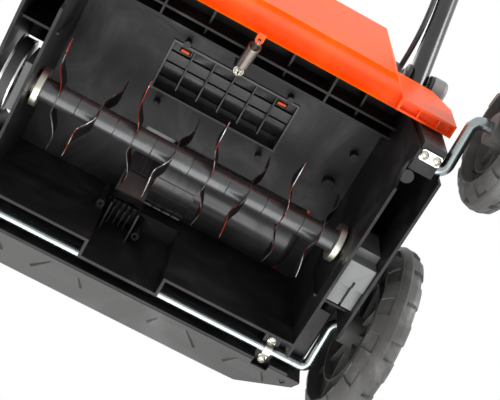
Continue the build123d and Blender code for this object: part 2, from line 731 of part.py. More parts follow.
with BuildPart() as rear_saddles:
    for side in (-1, 1):
        block((side * (rear_rod_inner + 0.5), side * 196.5), (rear_screw_back - 5.5, rear_screw_back + 5.5),
              (-rear_seat_drop - saddle_thick, -rear_seat_drop))
        for x in rear_screw_sides:
            bar_z(side * x, rear_screw_back, (-rear_seat_drop - 4, -rear_seat_drop + 1), screw_radius,
                  mode=Mode.SUBTRACT)
    fillet(rear_saddles.edges().filter_by(Axis.Z).group_by(Edge.length)[-1], 2.5)
save(rear_saddles.part, "rear_saddles")


def screw_up(x, y, seat, length):
    """A pan-head screw driven up into the machine, with its head under the seat."""
    bar_z(x, y, (seat - screw_head_height, seat), screw_head_radius)
    bar_z(x, y, (seat, seat + length), screw_radius - bore_gap)
    bar_z(x, y, (seat - screw_head_height - 1, seat - screw_head_height + 1.2), 1.3, mode=Mode.SUBTRACT)


with BuildPart() as saddle_screws:
    for side in (-1, 1):
        for shift in (-saddle_hole_half, saddle_hole_half):
            screw_up(side * saddle_side, front_rod[0] + shift, front_rod[1] - saddle_thick, 14)
        for x in rear_screw_sides:
            screw_up(side * x, rear_screw_back, -rear_seat_drop - saddle_thick, 14)
save(saddle_screws.part, "saddle_screws")


def make_wheel(side, inner, width, radius, hub):
    """A one-piece wheel: crowned rim, recessed web with spokes on the inside, hub and outer dish."""
    outer = inner + width
    drop = shoulder_drop * radius
    rim_inner, rim_outer = radius - 20, radius - 16
    web_inner, web_outer = inner + 15, outer - 8
    bore = rod_radius + axle_gap
    with BuildPart() as wheel:
        with BuildSketch(Plane(origin=spot(0, *hub), x_dir=(side, 0, 0), z_dir=(0, -side, 0))) as section:
            with BuildLine():
                Polyline((inner, rim_inner), (inner, radius - drop), (inner + 4, radius - 0.55 * drop),
                         (inner + 9, radius - 0.22 * drop), (inner + 16, radius), (outer - 8, radius),
                         (outer - 3, radius - 0.15 * drop), (outer, radius - 0.45 * drop),
                         (outer, rim_outer), (web_outer, rim_outer), (web_outer, hub_radius),
                         (outer - 2, hub_radius), (outer - 2, bore), (inner - 4, bore),
                         (inner - 4, hub_radius), (web_inner, hub_radius), (web_inner, rim_inner),
                         close=True)
            make_face()
        revolve(section.sketch, axis=Axis(spot(0, *hub), (1, 0, 0)))
        with BuildSketch(side_plane(side * (web_inner + 0.5))):
            with Locations(hub):
                with PolarLocations((rim_inner + 1 + hub_radius) / 2, 8, start_angle=22.5):
                    Rectangle(rim_inner - 1 - hub_radius, 3)
        extrude(amount=-side * 10)
    return wheel.part


for side, hand in ((1, "left"), (-1, "right")):
    save(make_wheel(side, wheel_side, front_wheel_width, front_wheel_radius, front_hub),
         f"front_wheel_{hand}")
    save(make_wheel(side, rear_wheel_side, rear_wheel_width, rear_wheel_radius, rear_hub),
         f"rear_wheel_{hand}")

# ------------------------------------------------------------------ height lever
lever_inner = crank_side + rod_radius + 0.2
lever_turn = radians(lever_angle)
lever_tip = (front_rod[0] + lever_length * cos(lever_turn), front_rod[1] + lever_length * sin(lever_turn))
quadrant_radius = 88.0
quadrant_width = 18.0
quadrant_from = 42.0
quadrant_to = 133.0

with BuildPart() as height_lever:
    with BuildSketch(side_plane(lever_inner)):
        with Locations(front_rod):
            Circle(lever_hub_radius)
        with Locations(((front_rod[0] + lever_tip[0]) / 2, (front_rod[1] + lever_tip[1]) / 2)):
            Rectangle(lever_length, lever_width, rotation=lever_angle)
        with Locations(lever_tip):
            Circle(lever_width / 2)
    extrude(amount=lever_thick)
save(height_lever.part, "height_lever")

with BuildPart() as lever_grip:
    grip_plane = Plane(origin=spot(lever_inner + lever_thick / 2, *lever_tip), x_dir=(1, 0, 0),
                       z_dir=(0, cos(lever_turn), sin(lever_turn)))
    with BuildSketch(grip_plane.offset(-24)):
        RectangleRounded(10.4, lever_width + 9, 5)
    extrude(amount=46)
    fillet(lever_grip.faces().group_by(SortBy.DISTANCE)[-1].edges(), 3.0)
    with BuildSketch(grip_plane.offset(-30)):
        Rectangle(lever_thick, lever_width)
    extrude(amount=30 + lever_width / 2, mode=Mode.SUBTRACT)
save(lever_grip.part, "lever_grip")

with BuildPart() as lever_quadrant:
    with BuildSketch(side_plane(deck_half)):
        with BuildLine():
            arc_size = quadrant_to - quadrant_from
            a1 = CenterArc(front_rod, quadrant_radius, quadrant_from, arc_size)
            a2 = CenterArc(front_rod, quadrant_radius - quadrant_width, quadrant_from, arc_size)
            Line(a1 @ 0, a2 @ 0)
            Line(a1 @ 1, a2 @ 1)
        make_face()
        for i in range(6):
            turn = radians(lever_angle + i * axle_tilt_limit / 5)
            notch_at = quadrant_radius - 5
            with Locations((front_rod[0] + notch_at * cos(turn), front_rod[1] + notch_at * sin(turn))):
                Circle(2.6, mode=Mode.SUBTRACT)
    extrude(amount=2.5)
    block((deck_half, deck_half + 2.5), (-86.0, -50.0), (44.0, 78.0))
save(lever_quadrant.part, "lever_quadrant")

# ------------------------------------------------------------------ rear flap
with BuildPart() as flap_core:
    with BuildSketch(side_plane(-flap_half)):
        with BuildLine():
            p1 = Polyline((flap_front - 20, flap_wall), (flap_front, flap_wall))
            p2 = ThreePointArc(p1 @ 1, ((flap_front + flap_rim) / 2, flap_trough_rise + flap_wall),
                               (flap_rim - 2, flap_trough_rise - 3.1))
            Polyline(p2 @ 1, (flap_top_back - flap_wall, flap_top - 7),
                     (flap_top_back - 5, flap_top - flap_wall),
                     (flap_front - 20, flap_top - flap_wall), p1 @ 0)
        make_face()
    extrude(amount=2 * flap_half)
    with BuildSketch(level_plane(-5)):
        with BuildLine():
            inner_half = flap_half - flap_wall
            Polyline((inner_half, flap_front - 30), (inner_half, wing_back - 1),
                     (inner_half - flap_corner_side - 8, flap_top_back + 1),
                     (-inner_half + flap_corner_side + 8, flap_top_back + 1),
                     (-inner_half, wing_back - 1), (-inner_half, flap_front - 30), close=True)
        make_face()
    extrude(amount=flap_top + 10, mode=Mode.INTERSECT)

with BuildPart() as rear_flap:
    with BuildSketch(side_plane(-flap_half)):
        with BuildLine():
            trough = ThreePointArc((flap_front, 0), ((flap_front + flap_rim) / 2, flap_trough_rise),
                                   (flap_rim, 0))
            Polyline(trough @ 1, (flap_top_back, flap_top - 6), (flap_top_back - 4, flap_top),
                     (hinge_back + 3, flap_top), (flap_front, flap_top - 18), trough @ 0)
        make_face()
    extrude(amount=2 * flap_half)
    with BuildSketch(level_plane(-5)):
        with BuildLine():
            Polyline((flap_half, flap_front - 5), (flap_half, wing_back),
                     (flap_half - flap_corner_side - 8, flap_top_back + 5),
                     (-flap_half + flap_corner_side + 8, flap_top_back + 5),
                     (-flap_half, wing_back), (-flap_half, flap_front - 5), close=True)
        make_face()
    extrude(amount=flap_top + 10, mode=Mode.INTERSECT)
    add(flap_core.part, mode=Mode.SUBTRACT)
    # side wings, open to the front, with a ribbed channel along their foot
    for side in (-1, 1):
        with BuildSketch(cross_plane(wing_back)):
            with BuildLine():
                Polyline((side * (flap_half - 1), 0), (side * wing_half, 0), (side * wing_half, 55),
                         (side * (wing_half - 18), wing_top - 4), (side * (flap_half - 1), wing_top),
                         close=True)
            make_face()
        extrude(amount=wing_back - flap_front)
        with BuildSketch(cross_plane(wing_back - flap_wall)):
            with BuildLine():
                Polyline((side * flap_half, 8.5), (side * (wing_half - flap_wall), 8.5),
                         (side * (wing_half - flap_wall), 53), (side * (wing_half - 20), wing_top - 7),
                         (side * flap_half, wing_top - flap_wall), close=True)
            make_face()
        extrude(amount=wing_back - flap_front, mode=Mode.SUBTRACT)
        for x0, x1 in ((flap_half + 2, 164), (166, 185), (187, wing_half - flap_wall)):
            block((side * x0, side * x1), (flap_front + 2.2, wing_back - flap_wall), (-1.0, 6.5),
                  mode=Mode.SUBTRACT)
    # knuckles on the hinge rod and the spring's lug
    for x in (-130.0, 0.0, 130.0):
        block((x - 9, x + 9), (hinge_back, hinge_back + 9), (hinge_height - 1, flap_top - 1))
        bar_x((x - 9, x + 9), hinge_back, hinge_height, hinge_rod_radius + 3.4)
    bar_x((-flap_half, flap_half), hinge_back, hinge_height, hinge_rod_radius + hinge_gap,
          mode=Mode.SUBTRACT)
    bar_z(spring_side, spring_lug_back, (0, flap_wall), spring_lug_half)
    block((spring_side - spring_lug_half, spring_side + spring_lug_half), (spring_lug_back, flap_front + 2),
          (0, flap_wall))
    bar_z(spring_side, spring_lug_back, (-1, flap_wall + 1), 1.8, mode=Mode.SUBTRACT)
save(rear_flap.part, "rear_flap")

with BuildPart() as flap_hinge_rod:
    bar_x((-151, 151), hinge_back, hinge_height, hinge_rod_radius)
save(flap_hinge_rod.part, "flap_hinge_rod")

spring_low = (spring_lug_back, 1.0)
spring_high = (spring_screw_back, spring_screw_height - 2)
spring_length = sqrt((spring_high[0] - spring_low[0]) ** 2 + (spring_high[1] - spring_low[1]) ** 2)
spring_dir = ((spring_high[0] - spring_low[0]) / spring_length,
              (spring_high[1] - spring_low[1]) / spring_length)


def on_spring(t):
    """A point at distance t from the lug along the spring's axis."""
    return (spring_side, spring_low[0] + t * spring_dir[0], spring_low[1] + t * spring_dir[1])


coil_from = 13.0
coil_to = spring_length - 16.0
with BuildPart() as flap_spring:
    with BuildSketch(Plane(origin=spot(*on_spring(coil_from)), z_dir=(0, *spring_dir))):
        Circle(spring_coil_radius)
    extrude(amount=coil_to - coil_from)
    tube_along([(spring_side, spring_lug_back, -1.5), (spring_side, spring_lug_back, 5.0),
                on_spring(coil_from + 4)], 1.5, spring_wire)
    tube_along([on_spring(coil_to - 4), on_spring(coil_to + 1.5),
                (spring_side, spring_screw_back + 8.6, spring_screw_height - 1.2),
                (spring_side, spring_screw_back + 3.4, spring_screw_height - 1.2)], 1.5, spring_wire)
save(flap_spring.part, "flap_spring")

with BuildPart() as spring_screw:
    bar_z(spring_side, spring_screw_back, (spring_screw_height - 6.5, spring_screw_height - 3.5), 4.6)
    bar_z(spring_side, spring_screw_back, (spring_screw_height - 3.5, spring_screw_height - 2.5), 7.0)
    bar_z(spring_side, spring_screw_back, (spring_screw_height - 2.5, spring_screw_height + 16),
          screw_radius - bore_gap)
save(spring_screw.part, "spring_screw")

# ------------------------------------------------------------------ axle caps
with BuildPart() as front_axle_caps:
    for side in (-1, 1):
        bar_x((side * (front_axle_end - 3.0), side * (front_axle_end + 1.5)), *front_hub, rod_radius + 3)
        bar_x((side * (front_axle_end - 4), side * front_axle_end), *front_hub, rod_radius,
              mode=Mode.SUBTRACT)
save(front_axle_caps.part, "front_axle_caps")

with BuildPart() as rear_axle_caps:
    for side in (-1, 1):
        bar_x((side * (rear_axle_end - 3.0), side * (rear_axle_end + 1.5)), *rear_hub, rod_radius + 3)
        bar_x((side * (rear_axle_end - 4), side * rear_axle_end), *rear_hub, rod_radius,
              mode=Mode.SUBTRACT)
save(rear_axle_caps.part, "rear_axle_caps")

# ------------------------------------------------------------------ hood, battery bay and lid
bay_gap = 0.4


def hood_body(inset):
    """The hood's block, set in by inset: side profile, rounded shoulders and rounded front corners."""
    with BuildPart() as body:
        with BuildSketch(side_plane(-hood_half + inset)):
            with BuildLine():
                front = Polyline((-hood_front + inset, deck_top - inset), (-hood_front + 4 + inset, 110))
                bow = Spline(front @ 1, (-108, 144 - inset), (-40, hood_top - inset),
                             tangents=((0.12, 1), (1, 0.02)))
                Polyline(bow @ 1, (hood_back - 17 - inset / 2, hood_top - inset),
                         (hood_back - inset, 150 - inset / 2), (hood_back - inset, deck_top - inset),
                         front @ 0)
            make_face()
        extrude(amount=2 * (hood_half - inset))
        with BuildSketch(cross_plane(hood_back + 1)):
            with Locations((0, hood_top - inset - 100)):
                RectangleRounded(2 * (hood_half - inset), 200, 14 - inset)
        extrude(amount=hood_front + hood_back + 2, mode=Mode.INTERSECT)
        with BuildSketch(level_plane(deck_top - hood_wall - 1)):
            with Locations((0, 100 - hood_front + inset)):
                RectangleRounded(2 * (hood_half - inset), 200, 24 - inset)
            with Locations((0, 100)):
                Rectangle(2 * (hood_half - inset), 200)
        extrude(amount=hood_top - deck_top + 10, mode=Mode.INTERSECT)
    return body.part


hood_outside = hood_body(0.0)
hood_inside = hood_body(hood_wall)
with BuildPart() as hood:
    add(hood_outside)
    add(hood_inside, mode=Mode.SUBTRACT)
    block((bay_right - bay_gap, bay_left + bay_gap), (bay_front - bay_gap, bay_back + bay_gap),
          (hood_top - 8, hood_top + 1), mode=Mode.SUBTRACT)
    for side in (-1, 1):
        for y in (-30.0, 62.0):
            block((side * (hood_half - 1), side * (hood_half + 13)), (y - 8, y + 8),
                  (deck_top, deck_top + 3))
            bar_z(side * (hood_half + 7), y, (deck_top - 1, deck_top + 4), screw_radius, mode=Mode.SUBTRACT)
        for i in range(6):
            y = -104.0 + 10 * i
            block((side * (hood_half - 4), side * (hood_half + 1)), (y, y + 4), (106.0, 126.0),
                  mode=Mode.SUBTRACT)
        # ears that hold the lid's pin
        for x in (28.0, 52.0):
            block((side * (x - 3), side * (x + 3)), (lid_hinge_back - 1, lid_hinge_back + 6),
                  (hood_top - 12, hood_top + 3))
            bar_x((side * (x - 3), side * (x + 3)), lid_hinge_back, hood_top + 4.5, 4.0)
            bar_x((side * (x - 4), side * (x + 4)), lid_hinge_back, hood_top + 4.5, lid_pin_radius,
                  mode=Mode.SUBTRACT)
    block((-hood_half + hood_wall, hood_half - hood_wall), (lid_hinge_back - 3, hood_back - 12),
          (hood_top - 20, hood_top - 5.5), mode=Mode.SUBTRACT)
    # ways out for the motor's shaft and for the lead
    block((hood_half - 4, hood_half + 1), (-motor_forward - 5.5, -motor_forward + 5.5),
          (deck_top - 1, motor_height + 5.5), mode=Mode.SUBTRACT)
    with BuildSketch(Plane(origin=spot(*lead_start), z_dir=lead_start_dir)):
        Circle(lead_radius + 0.2)
    extrude(amount=30, both=True, mode=Mode.SUBTRACT)
save(hood.part, "hood")

with BuildPart() as hood_screws:
    for side in (-1, 1):
        for y in (-30.0, 62.0):
            x = side * (hood_half + 7)
            bar_z(x, y, (deck_top + 3, deck_top + 3 + screw_head_height), screw_head_radius)
            bar_z(x, y, (deck_top, deck_top + 3.5), screw_radius - bore_gap)
            bar_z(x, y, (deck_top + 4.2, deck_top + 6), 1.3, mode=Mode.SUBTRACT)
save(hood_screws.part, "hood_screws")

bay_bottom = ceiling_height + pocket_depth
with BuildPart() as battery_bay:
    block((bay_right, bay_left), (bay_front, bay_back), (bay_bottom, hood_top - 0.5))
    block((bay_right + bay_wall, bay_left - bay_wall), (bay_front + bay_wall, bay_back - bay_wall),
          (bay_floor, hood_top), mode=Mode.SUBTRACT)
    block((bay_right - 4, bay_left + 4), (60.0, 78.0), (bay_bottom, bay_floor))
    for x in bay_hook_sides:
        block((x - bay_hook_half, x + bay_hook_half), (bay_hook_back, bay_hook_back + bay_hook_thick),
              (ceiling_height, bay_bottom + 1))
    # guide rails for the pack
    for side in (-1, 1):
        block((side * (bay_left - bay_wall - 2.5), side * (bay_left - bay_wall)), (20.0, 96.0),
              (bay_floor, bay_floor + 24))
save(battery_bay.part, "battery_bay")

pack_top = hood_top - 6
pack_half = bay_left - bay_wall - 0.4
with BuildPart() as battery_pack:
    block((-pack_half, pack_half), (bay_front + bay_wall + 0.4, bay_back - bay_wall - 0.4),
          (bay_floor, pack_top))
    fillet(battery_pack.edges().filter_by(Axis.Z), 6.0)
    fillet(battery_pack.faces().sort_by(Axis.Z)[-1].edges(), 4.0)
    for side in (-1, 1):
        block((side * (pack_half - 2.9), side * (pack_half + 1)), (19.0, 97.0),
              (bay_floor - 1, bay_floor + 25),
              mode=Mode.SUBTRACT)
    with BuildSketch(level_plane(pack_top)):
        with Locations((0, 25)):
            RectangleRounded(46, 22, 8)
    extrude(amount=-12, mode=Mode.SUBTRACT)
save(battery_pack.part, "battery_pack")

lid_low = hood_top + 0.4
lid_back = lid_hinge_back - 5
with BuildPart() as battery_lid:
    block((-66.0, 66.0), (bay_front - 10, lid_back), (lid_low, lid_low + lid_thick))
    fillet(battery_lid.edges().filter_by(Axis.Z), 7.0)
    fillet(battery_lid.faces().sort_by(Axis.Z)[-1].edges(), 1.4)
    for x in (-40.0, 40.0):
        block((x - 8.6, x + 8.6), (lid_back - 6, lid_hinge_back), (lid_low, lid_low + lid_thick + 1))
        bar_x((x - 8.6, x + 8.6), lid_hinge_back, hood_top + 4.5, 4.0)
        bar_x((x - 9, x + 9), lid_hinge_back, hood_top + 4.5, lid_pin_radius + pin_gap, mode=Mode.SUBTRACT)
    for i in range(5):
        block((-20.0, 20.0), (bay_front - 6 + 4 * i, bay_front - 4.4 + 4 * i),
              (lid_low + lid_thick - 0.8, lid_low + lid_thick + 1), mode=Mode.SUBTRACT)
save(battery_lid.part, "battery_lid")

with BuildPart() as lid_pins:
    for side in (-1, 1):
        bar_x((side * 25.0, side * 55.0), lid_hinge_back, hood_top + 4.5, lid_pin_radius)
save(lid_pins.part, "lid_pins")

# ------------------------------------------------------------------ handle
along = (cos(tilt), sin(tilt))
fold_at = lower_length
bar_at = lower_length + upper_length
bracket_inner = handle_half - tube_radius - joint_gap
bracket_outer = handle_half + tube_radius + joint_gap
bracket_plate = 3.6
pivot = (pivot_back, pivot_height)


def on_handle(x, s, n=0.0):
    """A point s up the handle from its lower pivot and n out from its upper side."""
    return (x, pivot_back + s * along[0] - n * along[1], pivot_height + s * along[1] + n * along[0])


def handle_plane(s):
    """Plane square to the handle at s; local x is the machine's, local y is toward its underside."""
    return Plane(origin=spot(*on_handle(0, s)), x_dir=(1, 0, 0), z_dir=(0, *along))


def tube_run(x, start, end, radius, mode=Mode.ADD, n=0.0):
    """A straight round bar beside or inside the handle."""
    with BuildSketch(handle_plane(start)) as section:
        with Locations((x, -n)):
            Circle(radius)
    extrude(section.sketch, amount=end - start, mode=mode)


def handle_box(x, s, n, mode=Mode.ADD, corner=0.0):
    """A box in the handle's directions, with rounded edges along the handle."""
    with BuildSketch(handle_plane(s[0])) as section:
        with Locations((sum(x) / 2, -sum(n) / 2)):
            if corner:
                RectangleRounded(abs(x[1] - x[0]), abs(n[1] - n[0]), corner)
            else:
                Rectangle(abs(x[1] - x[0]), abs(n[1] - n[0]))
    extrude(section.sketch, amount=s[1] - s[0], mode=mode)


with BuildPart() as handle_brackets:
    for side in (-1, 1):
        for x in (bracket_inner - bracket_plate, bracket_outer):
            with BuildSketch(side_plane(side * x if side > 0 else -x - bracket_plate)):
                with BuildLine():
                    Polyline((118, deck_top), (deck_back - 0.2, deck_top), (161.5, 100.2), (170, 113),
                             (156, 127), (150.5, 125.8), (124, 112), close=True)
                make_face()
                with Locations(pivot):
                    Circle(14)
            extrude(amount=bracket_plate)
            bar_x((side * (x - 1), side * (x + bracket_plate + 1)), *pivot, pin_radius, mode=Mode.SUBTRACT)
        block((side * (bracket_inner - bracket_plate), side * (bracket_outer + bracket_plate)),
              (118.0, deck_back - 0.2), (deck_top, deck_top + bracket_plate))
        block((side * bracket_inner, side * bracket_outer), (118.0, 121.6), (deck_top, 108.0))
save(handle_brackets.part, "handle_brackets")

with BuildPart() as pivot_bolts:
    for side in (-1, 1):
        bar_x((side * (bracket_inner - bracket_plate - 3), side * (bracket_outer + bracket_plate + 6)),
              *pivot, pin_radius)
        bar_x((side * (bracket_inner - bracket_plate - 3), side * (bracket_inner - bracket_plate)),
              *pivot, 7.0)
        with BuildSketch(side_plane(side * (bracket_outer + bracket_plate))):
            with Locations(pivot):
                RegularPolygon(6.5, 6)
        extrude(amount=side * 5)
save(pivot_bolts.part, "pivot_bolts")

with BuildPart() as pivot_covers:
    for side in (-1, 1):
        near = bracket_outer + bracket_plate
        bar_x((side * near, side * (near + 17)), *pivot, 15.0)
        fillet(pivot_covers.faces().sort_by(Axis.X)[0 if side < 0 else -1].edges(), 5.0)
        bar_x((side * (near - 1), side * (near + 12)), *pivot, 11.0, mode=Mode.SUBTRACT)
save(pivot_covers.part, "pivot_covers")

lower_foot = -12.0
with BuildPart() as lower_handle:
    for side in (-1, 1):
        tube_run(side * handle_half, lower_foot, fold_at + tube_end, tube_radius)
    with BuildSketch(Plane(origin=spot(*on_handle(-handle_half - 2, crossbar_at, tube_radius + 6)),
                           z_dir=(1, 0, 0))) as bar_end:
        Circle(8)
    extrude(bar_end.sketch, amount=2 * handle_half + 4)
    for side in (-1, 1):
        tube_run(side * handle_half, lower_foot - 1, fold_at + tube_end + 1, tube_radius - tube_wall,
                 mode=Mode.SUBTRACT)
        for end in (0.0, fold_at):
            _, y, z = on_handle(0, end)
            bar_x((side * (handle_half - 13), side * (handle_half + 13)), y, z, pin_radius + pin_gap,
                  mode=Mode.SUBTRACT)
save(lower_handle.part, "lower_handle")

_, fold_y, fold_z = on_handle(0, fold_at)
with BuildPart() as upper_handle:
    with BuildLine() as loop:
        FilletPolyline(*[spot(*on_handle(x, s)) for x, s in (
            (-upper_half, fold_at - tube_end), (-upper_half, bar_at), (upper_half, bar_at),
            (upper_half, fold_at - tube_end))], radius=tube_bend)
    with BuildSketch(handle_plane(fold_at - tube_end)) as ring:
        with Locations((-upper_half, 0)):
            Circle(tube_radius)
            Circle(tube_radius - tube_wall, mode=Mode.SUBTRACT)
    sweep(sections=ring.sketch, path=loop.line)
    bar_x((-upper_half - 13, upper_half + 13), fold_y, fold_z, pin_radius + pin_gap, mode=Mode.SUBTRACT)
save(upper_handle.part, "upper_handle")

knob_inner = upper_half + tube_radius + joint_gap
knob_width = 18.0
with BuildPart() as fold_bolts:
    for side in (-1, 1):
        head = handle_half - tube_radius - 2.5
        bar_x((side * head, side * (knob_inner + 12)), fold_y, fold_z, pin_radius)
        bar_x((side * head, side * (head + 2.5)), fold_y, fold_z, 6.5)
save(fold_bolts.part, "fold_bolts")

for side, hand in ((1, "left"), (-1, "right")):
    with BuildPart() as fold_knob:
        bar_x((side * knob_inner, side * (knob_inner + knob_width)), fold_y, fold_z, 13.0)
        with BuildSketch(side_plane(side * (knob_inner + 5))):
            with Locations((fold_y, fold_z)):
                with PolarLocations(12.5, 5):
                    Circle(6.5)
        extrude(amount=side * (knob_width - 5))
        bar_x((side * (knob_inner - 1), side * (knob_inner + 12.5)), fold_y, fold_z, pin_radius + pin_gap,
              mode=Mode.SUBTRACT)
    save(fold_knob.part, f"fold_knob_{hand}")

_, bar_y, bar_z_height = on_handle(0, bar_at)
grip_half = upper_half - tube_bend - 14
with BuildPart() as handle_grip:
    bar_x((-grip_half, grip_half), bar_y, bar_z_height, grip_radius)
    fillet(handle_grip.edges().filter_by(GeomType.CIRCLE), 2.0)
    bar_x((-grip_half - 1, grip_half + 1), bar_y, bar_z_height, tube_radius, mode=Mode.SUBTRACT)
save(handle_grip.part, "handle_grip")

# switch box on the right leg, a small bracket on the left leg, the bail lever between them
box_inner = -170.5
with BuildPart() as switch_box:
    box_span = (bail_hinge_at - box_reach[0], bail_hinge_at + box_reach[1])
    handle_box((-upper_half - 15, box_inner), box_span, (-18.0, 24.0), corner=7.0)
    fillet(switch_box.faces().sort_by(Axis.Z)[-1].edges(), 2.5)
    tube_run(-upper_half, box_span[0] - 5, box_span[1] + 5, tube_radius, mode=Mode.SUBTRACT)
    bail_y, bail_z = on_handle(0, bail_hinge_at)[1:]
    bar_x((-upper_half + 13, box_inner + 1), bail_y, bail_z, bail_rod_radius + pin_gap, mode=Mode.SUBTRACT)
    button_y, button_z = on_handle(0, bail_hinge_at - button_drop, 8.0)[1:]
    bar_x((-upper_half + 12, box_inner + 1), button_y, button_z, 7.3, mode=Mode.SUBTRACT)
    tube_run(-upper_half + tube_radius + lead_radius + 0.3, box_span[0] - 5, bail_hinge_at - lead_top_drop,
             lead_radius, mode=Mode.SUBTRACT)
save(switch_box.part, "switch_box")

with BuildPart() as bail_bracket:
    handle_box((-box_inner, upper_half + 15), (bail_hinge_at - 16, bail_hinge_at + 16), (-17.0, 17.0),
               corner=6.0)
    tube_run(upper_half, bail_hinge_at - 25, bail_hinge_at + 25, tube_radius, mode=Mode.SUBTRACT)
    bar_x((-box_inner - 1, upper_half - 13), bail_y, bail_z, bail_rod_radius + pin_gap, mode=Mode.SUBTRACT)
save(bail_bracket.part, "bail_bracket")

bail_pin = upper_half - tube_radius - 2.5
with BuildPart() as bail_lever:
    tube_along(
        [(-bail_pin, bail_y, bail_z), (-lever_side, bail_y, bail_z),
         on_handle(-lever_side, bar_at, bail_rise),
         on_handle(lever_side, bar_at, bail_rise), (lever_side, bail_y, bail_z),
         (bail_pin, bail_y, bail_z)], (5.0, 30.0, 30.0, 5.0), bail_rod_radius)
save(bail_lever.part, "bail_lever")

with BuildPart() as lock_button:
    bar_x((-upper_half + 17.5, box_inner + 6), button_y, button_z, 7.0)
    fillet(lock_button.faces().sort_by(Axis.X)[-1].edges(), 2.0)
save(lock_button.part, "lock_button")

# ------------------------------------------------------------------ lead along the handle


def turn_radii(points):
    """Bend radii that keep the arcs clear of one another: 0.45 of the shorter run at each turn."""
    vectors = [tuple(b - a for a, b in zip(p, q)) for p, q in zip(points, points[1:])]
    sizes = [sqrt(sum(c * c for c in v)) for v in vectors]
    radii = []
    for i in range(len(vectors) - 1):
        dot = sum(a * b for a, b in zip(vectors[i], vectors[i + 1])) / sizes[i] / sizes[i + 1]
        turn = acos(max(-1.0, min(1.0, dot)))
        radii.append(0.45 * min(sizes[i], sizes[i + 1]) / tan(turn / 2))
    return radii


upper_lead_side = -upper_half + tube_radius + lead_radius + 0.3
lower_lead_points = [lead_start, (-152.0, 115.0, 140.5), (-154.0, 150.0, 146.5),
                     (-154.6, 184.0, 151.0), (-155.2, 212.0, 170.0), on_handle(lead_side, 125.0),
                     on_handle(lead_side, lead_split_at)]
upper_lead_points = [on_handle(lead_side, lead_split_at), on_handle(lead_side, fold_at - 35),
                     on_handle(lead_side, fold_at - 12, -11.0),
                     on_handle(lead_side - 0.4, fold_at + 13, -16.0),
                     on_handle(-163.0, fold_at + 45, -16.0), on_handle(-172.0, fold_at + 78, -11.0),
                     on_handle(upper_lead_side, fold_at + 115),
                     on_handle(upper_lead_side, bail_hinge_at - lead_top_drop)]
for name, points in (("lead_lower", lower_lead_points), ("lead_upper", upper_lead_points)):
    radii = turn_radii(points)
    print(name, "bend radii", [round(r, 1) for r in radii])
    with BuildPart() as lead:
        tube_along(points, radii, lead_radius)
    save(lead.part, name)

with BuildPart() as lead_gland:
    with BuildSketch(Plane(origin=spot(*lead_start), z_dir=lead_start_dir)) as boot:
        Circle(5.6)
    extrude(boot.sketch, amount=16, taper=6)
    block((-hood_half, -120.0), (70.0, 120.0), (110.0, 160.0), mode=Mode.SUBTRACT)
    pad_corner = spot(-hood_half - 1.2, 74.0, 126.0)
    with BuildSketch(Plane(origin=pad_corner, z_dir=(1, 0, 0), x_dir=(0, 1, 0))) as pad:
        with Locations((10, 8)):
            RectangleRounded(26, 18, 5)
    extrude(pad.sketch, amount=1.2)
    with BuildSketch(Plane(origin=spot(*lead_start), z_dir=lead_start_dir)) as hole:
        Circle(lead_radius)
    extrude(hole.sketch, amount=30, both=True, mode=Mode.SUBTRACT)
save(lead_gland.part, "lead_gland")

for name, tube_x, lead_x, places in (
        ("lower_lead_clips", -handle_half, lead_side, (150.0, 0.6 * fold_at, fold_at - 60)),
        ("upper_lead_clips", -upper_half, upper_lead_side, (fold_at + 150, bail_hinge_at - 95))):
    with BuildPart() as clips:
        for s in places:
            tube_run(tube_x, s - 4.5, s + 4.5, tube_radius + 1.6)
            tube_run(lead_x, s - 4.5, s + 4.5, lead_radius + 1.6)
        for s in places:
            tube_run(tube_x, s - 6, s + 6, tube_radius, mode=Mode.SUBTRACT)
            tube_run(lead_x, s - 6, s + 6, lead_radius, mode=Mode.SUBTRACT)
    save(clips.part, name)
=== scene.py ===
import json
import math
import bmesh
import bpy
import numpy as np
from mathutils import Matrix, Vector


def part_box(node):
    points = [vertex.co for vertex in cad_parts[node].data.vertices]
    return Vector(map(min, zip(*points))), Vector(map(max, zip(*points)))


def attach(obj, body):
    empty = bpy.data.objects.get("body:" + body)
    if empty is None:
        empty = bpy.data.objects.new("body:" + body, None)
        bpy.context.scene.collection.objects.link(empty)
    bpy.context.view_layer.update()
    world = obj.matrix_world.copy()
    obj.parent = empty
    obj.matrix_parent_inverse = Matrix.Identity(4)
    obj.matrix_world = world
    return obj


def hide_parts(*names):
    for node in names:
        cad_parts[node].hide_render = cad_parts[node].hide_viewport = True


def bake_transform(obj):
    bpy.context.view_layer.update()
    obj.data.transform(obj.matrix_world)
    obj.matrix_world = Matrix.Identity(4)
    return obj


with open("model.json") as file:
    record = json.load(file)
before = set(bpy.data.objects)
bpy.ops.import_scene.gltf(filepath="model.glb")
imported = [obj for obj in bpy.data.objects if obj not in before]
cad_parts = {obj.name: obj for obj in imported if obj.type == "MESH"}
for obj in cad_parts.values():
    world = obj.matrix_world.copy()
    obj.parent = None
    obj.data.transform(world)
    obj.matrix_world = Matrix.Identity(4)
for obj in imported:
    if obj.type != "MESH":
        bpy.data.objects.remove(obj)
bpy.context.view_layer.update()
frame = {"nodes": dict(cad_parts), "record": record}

shaftLow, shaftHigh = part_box("rotor_shaft")
axisY = (shaftLow.y + shaftHigh.y) / 2
axisZ = (shaftLow.z + shaftHigh.z) / 2
print("frame loaded,", len(frame["nodes"]), "nodes")


# a point in millimetres from the middle of the rotor's axis becomes metres in the frame
def spot(x, y, z):
    return np.stack(np.broadcast_arrays(np.asarray(x) / 1000, axisY + np.asarray(y) / 1000,
                                        axisZ + np.asarray(z) / 1000), axis=-1).astype(float)


# camera: low behind the machine, looking up into its chamber
cameraView = {"eye": (78.774, 400.761, -1049.42), "toward": (-0.128971, -0.355771, 0.925631),
              "upward": (0.462576, 0.804066, 0.373499), "lens": 82.8, "sensor": 36.0}


